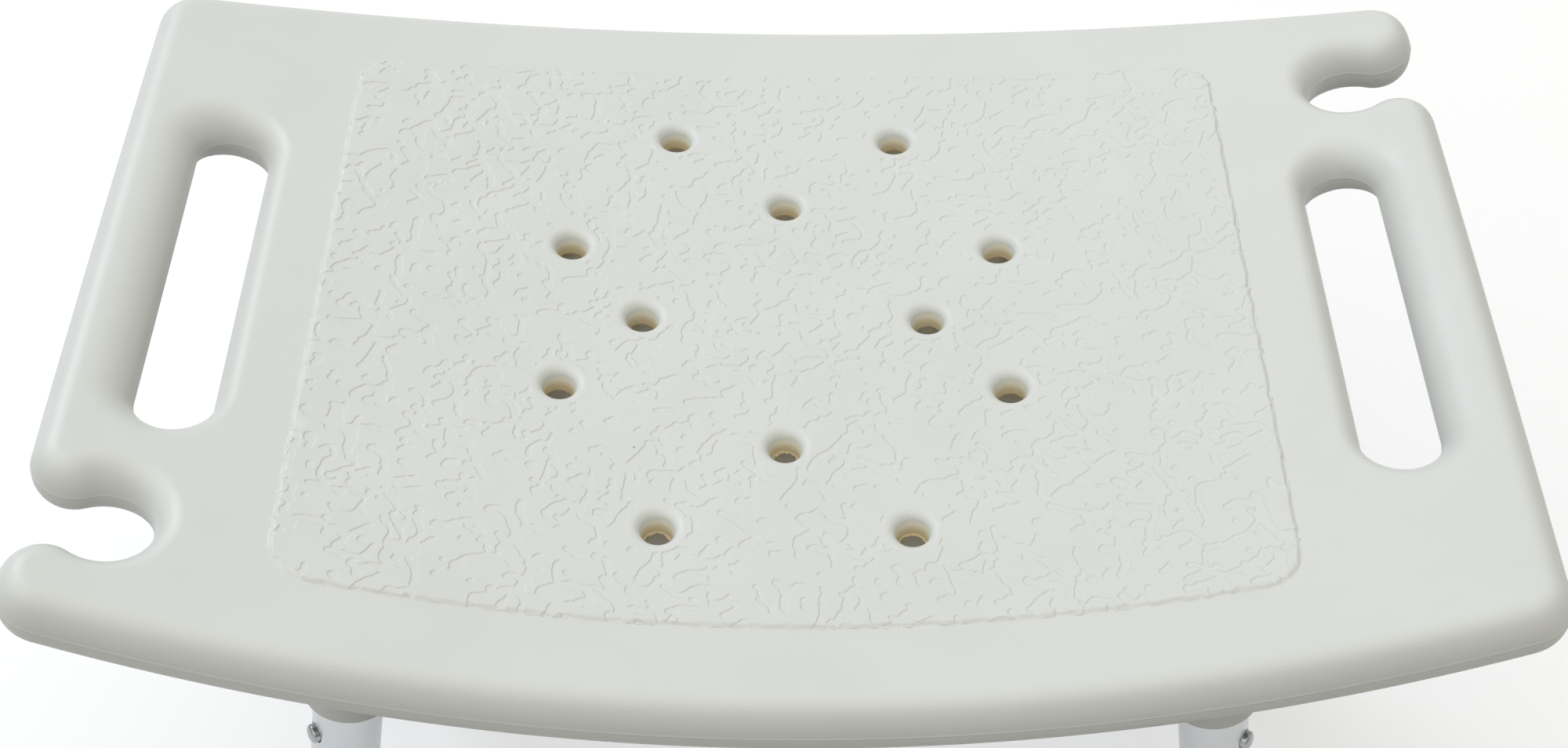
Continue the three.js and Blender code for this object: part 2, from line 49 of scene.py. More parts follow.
seat_middle = 355.8
camera_place = Vector((-8, -540.8, seat_middle + 593.75)) * MM
camera_pitch, camera_yaw, camera_roll = (math.radians(turn) for turn in (48.39, 0.846, 1.134))


def linked(name, data):
    piece = bpy.data.objects.new(name, data)
    bpy.context.collection.objects.link(piece)
    return piece


camera_level = Vector((math.cos(camera_yaw), -math.sin(camera_yaw), 0))
camera_ahead = Vector((math.sin(camera_yaw), math.cos(camera_yaw), 0)) * math.cos(camera_pitch)
camera_ahead.z = -math.sin(camera_pitch)
camera_axes = Matrix((camera_level, camera_level.cross(camera_ahead), -camera_ahead)).transposed()
camera_data = bpy.data.cameras.new("camera")
camera_data.sensor_width = sensor_width
camera_data.lens = focal_length_px / photo_width_px * sensor_width
camera = linked("camera", camera_data)
camera_turn = camera_axes @ Matrix.Rotation(camera_roll, 3, "Z")
camera.matrix_world = Matrix.LocRotScale(camera_place, camera_turn, None)
bpy.context.scene.camera = camera


# Seat board: one hollow shell of white high-density polyethylene, blow-moulded between two mould halves that
# meet at the middle of its round edge. Each drain hole is a narrow tube from above and a cup from below,
# pressed together and punched through. Sizes are in millimetres, and the finished mesh is in metres.
seat_half = 247.5
seat_end_depth = 296.4
seat_bow = 19.8
seat_end_bow = 0.6
seat_rise = 34
edge_radius = 13
corner_radius = 15
slot_from_end = 38.75
slot_half_width = 13
slot_half_length = 73
slot_shift = 6.4
slot_corner_radius = 12.9
notch_from_end = 27.5
notch_from_middle = 108.9
notch_radius = 15.1
notch_lip_radius = 13.5
seam_width = 0.5
seam_height = 0.14
merge_distance = 0.002
quarter = math.pi / 2
round_sides = 96

# An edge blends into the flat face within its reach, and a power below 1 makes its round fuller. A slot's
# blend is narrower along its sides and at its ends, and lies more on the side of the board's end.
edge_reach = 9
edge_power = 0.97
slot_reach = 13
slot_side_spread = 0.92
slot_side_drift = 0.3
slot_end_spread = 0.86


def arc(x, y, radius, start, end, steps):
    turn = np.linspace(start, end, steps + 1)
    return np.column_stack((x + radius * np.cos(turn), y + radius * np.sin(turn)))


def half_depth(x):
    return seat_end_depth / 2 + seat_bow * (1 - (x / seat_half) ** 2)


def bowed_side(end, corner, inset, steps):
    """The front side from corner to corner, and the middle and the turn of the corner that it runs into."""
    x = end - corner
    for _ in range(4):
        turn = math.atan(2 * seat_bow * x / seat_half**2)
        x = end - corner + corner * math.sin(turn)
    across = np.linspace(-x, x, steps)
    middle = (end - corner, inset - half_depth(x) + corner * math.cos(turn))
    return np.column_stack((across, inset - half_depth(across))), middle, turn


def closed_loop(stretches):
    """A loop from its first half, whose other half is the half turn."""
    half = np.vstack([stretch[:-1] for stretch in stretches])
    return np.vstack((half, -half))


def straight(x, start, end, steps):
    return np.column_stack((np.full(steps + 1, x), np.linspace(start, end, steps + 1)))


def seat_outline(inset):
    end = seat_half - inset
    corner = corner_radius - inset
    front, (x, y), turn = bowed_side(end, corner, inset, 110)
    pocket = notch_radius + inset
    pocket_x = seat_half - notch_from_end
    lip = notch_lip_radius - inset
    lip_x = end - lip
    lip_y = math.sqrt((pocket + lip) ** 2 - (lip_x - pocket_x) ** 2)
    reach = math.atan2(lip_y, pocket_x - lip_x)
    low = notch_from_middle - lip_y
    high = notch_from_middle + lip_y
    loop = closed_loop(
        [
            front,
            arc(x, y, corner, turn - quarter, 0, 10),
            straight(end, y, low, 36),
            arc(lip_x, low, lip, 0, reach, 12),
            arc(pocket_x, notch_from_middle, pocket, reach - math.pi, -math.pi - reach, 40),
            arc(lip_x, high, lip, -reach, 0, 12),
            straight(end, high, -y, 3),
            arc(x, -y, corner, 0, quarter - turn, 10),
        ]
    )
    loop[:, 0] += seat_end_bow * loop[:, 0] * (1 - (2 * loop[:, 1] / seat_end_depth) ** 2) / seat_half
    return loop


def slot_outline(side, inset):
    corner = slot_corner_radius + inset
    half_width = slot_half_width + slot_side_spread * inset
    x = half_width - corner
    y = slot_half_length + slot_end_spread * inset - corner
    stretches = [straight(half_width, -y, y, 40), arc(x, y, corner, 0, quarter, 14)]
    stretches.append(arc(-x, y, corner, quarter, 2 * quarter, 14))
    x = seat_half - slot_from_end + slot_side_drift * inset
    return closed_loop(stretches) + (side * x, -side * slot_shift)


def edge_rings(reach, power=1):
    """How far in and how high each ring of an edge lies, with the parting line's low ridge in the middle."""
    turns = np.radians((88, 84, 77, 69, 61, 53, 45, 36, 27, 18, 9, 3.5))
    insets = reach * (1 - np.cos(turns) ** power)
    heights = edge_radius * np.sin(turns) ** power
    upper = [*zip(insets.tolist(), heights.tolist()), (0, seam_width), (-seam_height, seam_width / 2)]
    return upper + [(inset, -height) for inset, height in upper[::-1]]


def band(loops, heights):
    """Points and faces of a band down through loops that run anticlockwise, facing out."""
    count = len(loops[0])
    points = [np.column_stack((loop, np.full(count, z))) for loop, z in zip(loops, heights)]
    near = np.arange(count)
    far = np.roll(near, -1)
    faces = np.column_stack((near, near + count, far + count, far))
    return np.vstack(points), np.vstack([faces + i * count for i in range(len(loops) - 1)]).tolist()


def facing_back(part):
    points, faces = part
    return points, [face[::-1] for face in faces]


def revolve(profile, sides=round_sides, closed=False):
    """A turned part from (radius, height) points, facing out where they run up. A radius may be a ring's."""
    turn = np.arange(sides) * (4 * quarter / sides)
    points = []
    rings = []
    for radius, height in profile:
        start = len(points)
        if np.ndim(radius) == 0 and radius == 0:
            points.append((0, 0, height))
            rings.append([start] * sides)
        else:
            ring = np.column_stack((radius * np.cos(turn), radius * np.sin(turn), np.full(sides, height)))
            points.extend(ring.tolist())
            rings.append(list(range(start, start + sides)))
    pairs = list(zip(rings, rings[1:]))
    if closed:
        pairs.append((rings[-1], rings[0]))
    faces = []
    for low, high in pairs:
        for i in range(sides):
            j = (i + 1) % sides
            faces.append(list(dict.fromkeys((low[i], low[j], high[j], high[i]))))
    return np.array(points), faces


def fill(loops, points, edges=()):
    """Triangles over the first loop without the others. Tells for each corner which point it was, or -1."""
    starts = np.cumsum([0] + [len(loop) for loop in loops]).tolist()
    corners = [Vector(place) for place in np.vstack((*loops, points)).tolist()]
    faces = [list(range(first, last)) for first, last in zip(starts, starts[1:])]
    lines = [(a + starts[-1], b + starts[-1]) for a, b in edges]
    found = delaunay_2d_cdt(corners, lines, faces, 1, 1e-5, True)
    flat = np.array([place[:] for place in found[0]])
    kept = [face for face, inside in zip(found[2], found[5]) if inside == [0]]
    given = np.array([min(names) if names else -1 for names in found[3]])
    return flat, kept, given


def raised(flat, height):
    return np.column_stack((flat, np.full(len(flat), height)))


def grid_points(half_x, half_y, spacing):
    x, y = np.meshgrid(np.arange(-half_x, half_x, spacing), np.arange(-half_y, half_y, spacing))
    x = x.astype(float)
    x[1::2] += spacing / 2
    return np.column_stack((x.ravel(), y.ravel()))


def joined(name, parts):
    """One mesh from parts of points and faces, with the corners that coincide merged."""
    points = np.vstack([part[0] for part in parts])
    starts = np.cumsum([0] + [len(part[0]) for part in parts]).tolist()
    faces = [[corner + start for corner in face] for start, part in zip(starts, parts) for face in part[1]]
    mesh = bpy.data.meshes.new(name)
    mesh.from_pydata(points.tolist(), [], faces)
    merged = bmesh.new()
    merged.from_mesh(mesh)
    bmesh.ops.remove_doubles(merged, verts=merged.verts, dist=merge_distance)
    bmesh.ops.delete(merged, geom=[vert for vert in merged.verts if not vert.link_faces], context="VERTS")
    merged.to_mesh(mesh)
    merged.free()
    return mesh


def smooth_step(value):
    share = np.clip(value, 0, 1)
    return share * share * (3 - 2 * share)


# Where the panel, the drain holes, the blowing hole and the leg pads lie on the flat board
panel_half = 169
panel_inset = 33.5
panel_corner_radius = 14
panel_height = 1.2
panel_foot = 0.5
panel_slope = 1.9
panel_ragged = 0.2
panel_top = edge_radius + panel_height
panel_bed = edge_radius - 1
panel_reach = half_depth(0) - panel_inset
drain_places = [(0, 59.1), (52.3, 0), (43.1, 95.4), (-43.1, 95.4), (80.25, 34.1), (-80.25, 34.1)]
drain_places += [(-x, -y) for x, y in drain_places]
ragged_drains = [(-43.1, -95.4), (43.1, -95.4), (0, -59.1)]
torn_seed = 7
drain_sides = 48
drain_top_radius = 5.8
drain_rim_radius = 3.6
drain_rim_flat = 0.3
drain_throat_radius = 5
drain_throat_from_top = 9
drain_weld = 1.2
drain_cup_top_radius = 6.5
drain_cup_radius = 8.5
drain_cup_lip = 0.8
drain_collar = drain_top_radius + drain_rim_radius + drain_rim_flat
vent_radius = 4
vent_depth = 12
vent_lip = 0.6
pad_radius = 28
pad_soft = 1.4
pad_drop = 3.5
pad_sides = 72
spread_spacing = 4.5
leg_column = 145
leg_row = 92


def panel_outline(inset):
    end = panel_half - inset
    corner = panel_corner_radius - inset
    front, (x, y), turn = bowed_side(end, corner, inset + panel_inset, 90)
    return closed_loop(
        [
            front,
            arc(x, y, corner, turn - quarter, 0, 10),
            straight(end, y, -y, 60),
            arc(x, -y, corner, 0, quarter - turn, 10),
        ]
    )


def circle(x, y, radius, steps=drain_sides):
    return arc(x, y, radius, 0, 4 * quarter, steps)[:-1]


drain_collars = [circle(x, y, drain_collar) for x, y in drain_places]


def drain_part(x, y, ragged, random):
    """The inside of a drain hole, with the thin torn skin that the punch leaves in some of them."""
    throat = panel_top - drain_throat_from_top
    turns = np.linspace(0, quarter, 9)
    mouth = drain_top_radius + drain_rim_radius
    profile = [(drain_collar, panel_bed), (drain_collar, panel_top)]
    for turn in turns:
        below = drain_rim_radius * (1 - math.cos(turn))
        profile.append((mouth - drain_rim_radius * math.sin(turn), panel_top - below))
    around = np.arange(drain_sides) * (4 * quarter / drain_sides)
    torn = 0
    for wave in (2, 3, 5, 9, 14):
        torn = torn + random.uniform(0.2, 1) * np.sin(wave * around + random.uniform(0, 6))
    skin = drain_throat_radius - (0.75 + 0.22 * torn if ragged else 0.12 + 0.03 * torn)
    profile += [
        (drain_throat_radius + 0.4, throat + 2.6),
        (drain_throat_radius + 0.15, throat + 0.6),
        (drain_throat_radius - 0.02, throat + 0.1),
        (skin, throat - 0.05),
        (skin - 0.04, throat - 0.3),
        (drain_throat_radius, throat - 0.5),
        (drain_throat_radius + 0.1, throat - drain_weld),
        (drain_cup_top_radius - 0.4, throat - drain_weld - 0.1),
        (drain_cup_top_radius + 0.05, throat - drain_weld - 0.7),
        (drain_cup_radius - 0.06, drain_cup_lip - edge_radius),
        (drain_cup_radius + 0.2, 0.25 * drain_cup_lip - edge_radius),
        (drain_cup_radius + drain_cup_lip, -edge_radius),
    ]
    points, faces = revolve(profile, drain_sides)
    return points + (x, y, 0), faces


def board_parts():
    rings = edge_rings(edge_reach, edge_power)
    slot_rings = edge_rings(slot_reach)
    heights = [height for _, height in rings]
    outline = [seat_outline(inset) for inset, _ in rings]
    slots = [[slot_outline(side, inset) for inset, _ in slot_rings] for side in (-1, 1)]
    slot_heights = [height for _, height in slot_rings]
    parts = [band(outline, heights)] + [facing_back(band(slot, slot_heights)) for slot in slots]
    edge_loops = [outline[0], slots[0][0], slots[1][0]]
    edge_count = sum(len(loop) for loop in edge_loops)
    spread = grid_points(seat_half, seat_half, spread_spacing)
    foot = panel_outline(-panel_foot)

    def skin(loops, places, side):
        flat, faces, given = fill([*edge_loops, *loops], places)
        on_edge = (given >= 0) & (given < edge_count)
        return np.column_stack((flat, side * np.where(on_edge, heights[0], edge_radius))), faces

    parts.append(skin([foot], spread, 1))
    parts.append(facing_back(band([foot, foot], [edge_radius, panel_bed])))
    flat, faces, _ = fill([foot, *drain_collars], spread[::3])
    parts.append((raised(flat, panel_bed), faces))

    random = np.random.default_rng(torn_seed)
    parts += [drain_part(x, y, (x, y) in ragged_drains, random) for x, y in drain_places]
    vent = [(0, vent_depth - edge_radius), (vent_radius, vent_depth - edge_radius)]
    vent += [(vent_radius, vent_lip - edge_radius), (vent_radius + vent_lip, -edge_radius)]
    parts.append(revolve(vent, drain_sides))
    cups = [circle(x, y, drain_cup_radius + drain_cup_lip) for x, y in drain_places]
    cups.append(circle(0, 0, vent_radius + vent_lip))
    pad_rings = [
        circle(side * leg_column, end * leg_row, pad_radius + step, pad_sides)
        for side in (-1, 1)
        for end in (-1, 1)
        for step in np.linspace(-pad_soft, pad_soft, 8)
    ]
    parts.append(facing_back(skin(cups, np.vstack((spread, *pad_rings)), -1)))
    return parts


# Each leg has a frame of its own: its origin is the middle of the pad that its socket is screwed to,
# its Z runs up the leg, and its X points away from the middle of the bench.
pad_slope = 2 * seat_rise * leg_column / seat_half**2
pad_rise = seat_rise * (leg_column / seat_half) ** 2
pad_height = seat_middle + pad_rise - edge_radius * math.hypot(1, pad_slope) - pad_drop
leg_reach = math.hypot(leg_column, leg_row)
leg_azimuth = math.atan2(leg_row, leg_column)
leg_splay = math.atan(pad_slope / math.cos(leg_azimuth))
leg_azimuths = {
    "front_left": math.pi + leg_azimuth,
    "front_right": -leg_azimuth,
    "back_left": math.pi - leg_azimuth,
    "back_right": leg_azimuth,
}


def leg_frame(leg):
    turn = leg_azimuths[leg]
    foot = Vector((leg_reach * math.cos(turn), leg_reach * math.sin(turn), pad_height))
    return Matrix.Translation(foot) @ Matrix.Rotation(turn, 4, "Z") @ Matrix.Rotation(-leg_splay, 4, "Y")


def bent(points):
    """The flat board's points on the saddle, with a flat pad pressed down at each leg."""
    x, y, z = points.T
    lean = np.arctan(2 * seat_rise * x / seat_half**2)
    height = seat_middle + seat_rise * (x / seat_half) ** 2
    points = np.column_stack((x - z * np.sin(lean), y, height + z * np.cos(lean)))
    below = z < 1e-3 - edge_radius
    for leg in leg_azimuths:
        frame_of_leg = np.array(leg_frame(leg))
        local = (points - frame_of_leg[:3, 3]) @ frame_of_leg[:3, :3]
        from_axis = np.hypot(local[:, 0], local[:, 1])
        local[:, 2] *= smooth_step((from_axis - pad_radius + pad_soft) / (2 * pad_soft))
        pressed = below & (from_axis < pad_radius + pad_soft)
        points[pressed] = (local @ frame_of_leg[:3, :3].T + frame_of_leg[:3, 3])[pressed]
    return points


def points_of(mesh):
    flat = np.empty(len(mesh.vertices) * 3, dtype=np.float32)
    mesh.vertices.foreach_get("co", flat)
    return flat.reshape(-1, 3)


def dressed(name, mesh, material, nodes, place=Matrix(), body="bench_frame", shape=None, sharp=40):
    """A piece from a mesh in millimetres, which keeps its own coordinates for the patterns on it."""
    mesh = mesh.copy()
    mesh.name = name
    local = points_of(mesh)
    mesh.attributes.new("local", "FLOAT_VECTOR", "POINT").data.foreach_set("vector", local.ravel())
    if shape:
        mesh.vertices.foreach_set("co", shape(local.astype(float)).ravel())
    mesh.transform(Matrix.Scale(MM, 4) @ place)
    mesh.materials.clear()
    mesh.materials.append(material)
    mesh.shade_smooth()
    mesh.set_sharp_from_angle(angle=math.radians(sharp))
    piece = linked(name, mesh)
    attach(piece, body)
    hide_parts(*nodes)
    return piece


def linear(colour):
    """A colour from its sRGB hex value."""
    values = [int(colour[place : place + 2], 16) / 255 for place in (1, 3, 5)]
    return (*[v / 12.92 if v < 0.04045 else ((v + 0.055) / 1.055) ** 2.4 for v in values], 1)


def add(tree, kind, inputs=None, **settings):
    """Adds a node with its settings, and gives each input a value or the socket that feeds it."""
    node = tree.nodes.new(kind)
    for name, value in settings.items():
        setattr(node, name, value)
    for name, value in (inputs or {}).items():
        if isinstance(value, bpy.types.NodeSocket):
            tree.links.new(value, node.inputs[name])
        else:
            node.inputs[name].default_value = value
    return node


def empty_material(name):
    material = bpy.data.materials.new(name)
    material.use_nodes = True
    material.node_tree.nodes.clear()
    return material, material.node_tree


def coated(name, colours, tint, fine, gloss, relief, tint_range=(0, 1), streaked=False, own=True, **sockets):
    """A material whose colour drifts with one pattern, and whose gloss and relief follow a finer one.

    A pattern is its size in millimetres, its detail and its roughness. A streaked colour follows both.
    The patterns lie on the piece's own coordinates, or on those of a CAD node's mesh, which is in metres.
    """
    material, tree = empty_material(name)
    if own:
        place = add(tree, "ShaderNodeAttribute", attribute_name="local").outputs["Vector"]
    else:
        place = add(tree, "ShaderNodeTexCoord").outputs["Object"]
    noises = []
    for size, detail, roughness in (tint, fine):
        scale = (np.ones(3) / size).tolist()
        scaled = add(tree, "ShaderNodeMapping", {"Vector": place, "Scale": scale}).outputs[0]
        given = {"Vector": scaled, "Scale": 1, "Detail": detail, "Roughness": roughness}
        noises.append(add(tree, "ShaderNodeTexNoise", given).outputs["Fac"])
    wide, narrow = noises
    given = {"Value": wide, "From Min": tint_range[0], "From Max": tint_range[1]}
    share = add(tree, "ShaderNodeMapRange", given).outputs[0]
    if streaked:
        share = add(tree, "ShaderNodeMath", {0: share, 1: narrow}, operation="MULTIPLY").outputs[0]
    given = {"Factor": share, 6: linear(colours[0]), 7: linear(colours[1])}
    base = add(tree, "ShaderNodeMix", given, data_type="RGBA").outputs[2]
    given = {"Value": narrow, "To Min": gloss[0], "To Max": gloss[1]}
    matt = add(tree, "ShaderNodeMapRange", given).outputs[0]
    given = {"Height": narrow, "Strength": relief[0], "Distance": relief[1] * MM}
    bump = add(tree, "ShaderNodeBump", given).outputs["Normal"]
    given = {"Base Color": base, "Roughness": matt, "Normal": bump} | sockets
    shader = add(tree, "ShaderNodeBsdfPrincipled", given)
    add(tree, "ShaderNodeOutputMaterial", {"Surface": shader.outputs[0]})
    return material


# Blow-moulded polyethylene: a cool white skin with a satin face from the blasted mould, a little uneven
# where the wall cooled at different speeds, with the odd dark speck. Inside a drain hole the colour is
# painted: a painted glow below the rim for the light that comes through the wall there, and painted brown
# shade further down in the hole. The mould's grit is too fine to show, so the satin pattern is drawn
# 0.9 mm coarse.
poly_colours = ("#d6d8d3", "#cfd1cb")
poly_glow_colour = "#efeedd"
poly_hole_shade_colour = "#cdbd98"
poly_speck_colour = "#6e675a"
poly_gloss = (0.35, 0.48)
poly_cut_gloss = 0.12
poly_satin_size = 0.9
poly_uneven_size = 45
poly_speck_spacing = 26
poly_speck_reach = 0.016


def polyethylene():
    uneven = (poly_uneven_size, 3, 0.6)
    satin = (poly_satin_size, 2, 0.7)
    name = "blow-moulded polyethylene"
    material = coated(name, poly_colours, uneven, satin, poly_gloss, (0.5, 0.05), IOR=1.51)
    tree = material.node_tree
    skin = tree.nodes["Principled BSDF"]
    base, gloss = (skin.inputs[name].links[0].from_socket for name in ("Base Color", "Roughness"))
    # Painted light in the drain holes: as the depth attribute grows, a painted glow first, then painted
    # brown shade
    deep = add(tree, "ShaderNodeAttribute", attribute_name="deep").outputs["Fac"]
    for low, high, colour in ((0.1, 0.5, poly_glow_colour), (0.3, 1, poly_hole_shade_colour)):
        given = {"Value": deep, "From Min": low, "From Max": high}
        share = add(tree, "ShaderNodeMapRange", given).outputs[0]
        given = {"Factor": share, 6: base, 7: linear(colour)}
        base = add(tree, "ShaderNodeMix", given, data_type="RGBA").outputs[2]
    place = add(tree, "ShaderNodeAttribute", attribute_name="local").outputs["Vector"]
    given = {"Vector": place, "Scale": 1 / poly_speck_spacing, "Randomness": 1}
    spots = add(tree, "ShaderNodeTexVoronoi", given).outputs
    size = add(tree, "ShaderNodeSeparateColor", {0: spots["Color"]}).outputs[0]
    given = {"Value": size, "From Min": 0.72, "To Max": poly_speck_reach}
    reach = add(tree, "ShaderNodeMapRange", given).outputs[0]
    speck = add(tree, "ShaderNodeMath", {0: spots["Distance"], 1: reach}, operation="LESS_THAN").outputs[0]
    given = {"Factor": speck, 6: base, 7: linear(poly_speck_colour)}
    tree.links.new(add(tree, "ShaderNodeMix", given, data_type="RGBA").outputs[2], skin.inputs["Base Color"])
    cut = add(tree, "ShaderNodeAttribute", attribute_name="cut").outputs["Fac"]
    given = {0: cut, 1: poly_cut_gloss, 2: gloss}
    matt = add(tree, "ShaderNodeMath", given, operation="MULTIPLY_ADD").outputs[0]
    tree.links.new(matt, skin.inputs["Roughness"])
    return material


seat_finish = polyethylene()
# Painted glow and painted brown shade in the drain holes: within this reach of a hole's middle, the mask
# grows with depth below the rim and fades out again towards the cup's lip underneath. The material paints
# its lower values lighter and its higher ones brown.
hole_shade_radius = 9
hole_shade_depth = 8
hole_shade_low = -12
hole_shade_low_fade = 6
board_mesh = joined("board", board_parts())
board = points_of(board_mesh)
from_drains = np.min([np.hypot(board[:, 0] - x, board[:, 1] - y) for x, y in drain_places], axis=0)
below_rim = smooth_step((edge_radius - board[:, 2]) / hole_shade_depth)
above_lip = smooth_step((board[:, 2] - hole_shade_low) / hole_shade_low_fade)
hole_glow_and_shade = np.where(from_drains < hole_shade_radius, below_rim * above_lip, 0)
board_mesh.attributes.new("deep", "FLOAT", "POINT").data.foreach_set("value", hole_glow_and_shade)
dressed("seat_board", board_mesh, seat_finish, ["seat"], shape=bent)


# Panel: the raised middle of the same moulding, with a leather grain that was etched into the mould.
# It stands a little over a millimetre high with a soft edge, and the grain nicks that edge.
grain_cell = 0.75
grain_depth = 0.34
grain_wall = 0.42
grain_spacing = 9.2
dot_spacing = 12
grain_step = 1.1
grain_margin = 0.6
grain_seed = 41
grain_outside = -9.0
face_spacing = 6
back_spacing = 14
crossing_shares = (0.12, 0.88)

# The worms of the grain mostly follow two headings. They are short or long, and swing and kink on their way.
worm_gaps = 0.12
worm_scatter = grain_spacing / 3.2
worm_headings = (0.62, -1.05)
heading_shares = (0.56, 0.24, 0.2)
heading_scatter = 0.3
short_worm = (2.5, 7)
long_worm = (9, 30)
length_shares = (0.34, 0.66)
worm_radii = (1, 1.8)
worm_swell = (0.72, 1.2)
worm_swing = 0.16
swing_kept = 0.6
worm_kinks = (0, 0.9, -0.9)
kink_shares = (0.9, 0.05, 0.05)
dot_radii = (0.8, 1.8)
dot_tail = 1.2


def grain_lines(random):
    """Each worm as a list of (x, y, radius), and each dot as a very short one."""
    lines = []
    area = (panel_half + 2, panel_reach + 2)
    for x, y in grid_points(*area, grain_spacing):
        if random.random() < worm_gaps:
            continue
        x += random.normal(0, worm_scatter)
        y += random.normal(0, worm_scatter)
        heading = random.choice((*worm_headings, random.uniform(0, 4 * quarter)), p=heading_shares)
        heading += random.normal(0, heading_scatter)
        length = random.choice((random.uniform(*short_worm), random.uniform(*long_worm)), p=length_shares)
        radius = random.uniform(*worm_radii)
        line = []
        swing = 0
        for _ in range(max(2, int(length / grain_step))):
            line.append((x, y, radius * random.uniform(*worm_swell)))
            swing = swing_kept * swing + random.normal(0, worm_swing)
            heading += swing + random.choice(worm_kinks, p=kink_shares)
            x += grain_step * math.cos(heading)
            y += grain_step * math.sin(heading)
        lines.append(line)
    for x, y in grid_points(*area, dot_spacing):
        x += random.normal(0, dot_spacing / 3)
        y += random.normal(0, dot_spacing / 3)
        radius = random.uniform(*dot_radii)
        tail = random.uniform(0, dot_tail)
        lines.append([(x, y, radius), (x + tail, y + tail * random.uniform(-1, 1), radius)])
    return lines


def grain_field(lines):
    """How deep each cell's corner lies inside the grain's shapes, which keep off the drain holes."""
    across = np.arange(-panel_half - 3, panel_half + 3, grain_cell)
    along = np.arange(-panel_reach - 3, panel_reach + 3, grain_cell)
    field = np.full((len(across), len(along)), grain_outside)
    for line in lines:
        for (ax, ay, a_radius), (bx, by, b_radius) in zip(line, line[1:]):
            reach = max(a_radius, b_radius) + 2 * grain_cell
            rows = slice(*np.searchsorted(across, (min(ax, bx) - reach, max(ax, bx) + reach)))
            columns = slice(*np.searchsorted(along, (min(ay, by) - reach, max(ay, by) + reach)))
            x = across[rows, None]
            y = along[None, columns]
            run = (bx - ax) ** 2 + (by - ay) ** 2 + 1e-9
            share = np.clip(((x - ax) * (bx - ax) + (y - ay) * (by - ay)) / run, 0, 1)
            near = np.hypot(x - ax - share * (bx - ax), y - ay - share * (by - ay))
            inside = a_radius + share * (b_radius - a_radius) - near
            field[rows, columns] = np.maximum(field[rows, columns], inside)
    for x, y in drain_places:
        ring = np.hypot(across[:, None] - x, along[None, :] - y) - drain_collar - grain_margin
        field = np.minimum(field, np.maximum(ring, grain_outside))
    return across, along, field


def contour(across, along, field, level):
    """Points and edges where the field passes a level: a point on each side of a cell that it crosses."""
    inside = field > level
    over_x = inside[:-1] != inside[1:]
    over_y = inside[:, :-1] != inside[:, 1:]
    number_x = (np.cumsum(over_x) - 1).reshape(over_x.shape)
    number_y = (np.cumsum(over_y) - 1).reshape(over_y.shape) + over_x.sum()
    i, j = np.nonzero(over_x)
    share = np.clip((level - field[i, j]) / (field[i + 1, j] - field[i, j]), *crossing_shares)
    points_x = np.column_stack((across[i] + share * grain_cell, along[j]))
    i, j = np.nonzero(over_y)
    share = np.clip((level - field[i, j]) / (field[i, j + 1] - field[i, j]), *crossing_shares)
    points_y = np.column_stack((across[i], along[j] + share * grain_cell))
    sides = [
        (over_x[:, :-1], number_x[:, :-1]),
        (over_y[1:], number_y[1:]),
        (over_x[:, 1:], number_x[:, 1:]),
        (over_y[:-1], number_y[:-1]),
    ]
    crossed = sum(side.astype(int) for side, _ in sides)
    edges = []
    for a in range(4):
        for b in range(a + 1, 4):
            both = sides[a][0] & sides[b][0] & ((crossed == 2) | ((crossed == 4) & (a + b in (1, 5))))
            edges.append(np.column_stack((sides[a][1][both], sides[b][1][both])))
    return np.vstack((points_x, points_y)), np.vstack(edges)


def between(across, along, field, x, y):
    """The field at places between its grid's corners."""
    i = np.clip((x - across[0]) / grain_cell, 0, len(across) - 1.001)
    j = np.clip((y - along[0]) / grain_cell, 0, len(along) - 1.001)
    low_i = i.astype(int)
    low_j = j.astype(int)
    share_i = i - low_i
    share_j = j - low_j
    near = field[low_i, low_j] * (1 - share_i) + field[low_i + 1, low_j] * share_i
    far = field[low_i, low_j + 1] * (1 - share_i) + field[low_i + 1, low_j + 1] * share_i
    return near * (1 - share_j) + far * share_j


def depth_in_panel(x, y):
    """How far a place lies inside the panel's foot line."""
    x = np.abs(x)
    y = np.abs(y)
    _, (corner_x, corner_y), _ = bowed_side(panel_half, panel_corner_radius, panel_inset, 2)
    plain = np.minimum(panel_half - x, half_depth(x) - panel_inset - y)
    round_part = panel_corner_radius - np.hypot(x - corner_x, y + corner_y)
    return np.where((x > corner_x) & (y > -corner_y), np.minimum(plain, round_part), plain)


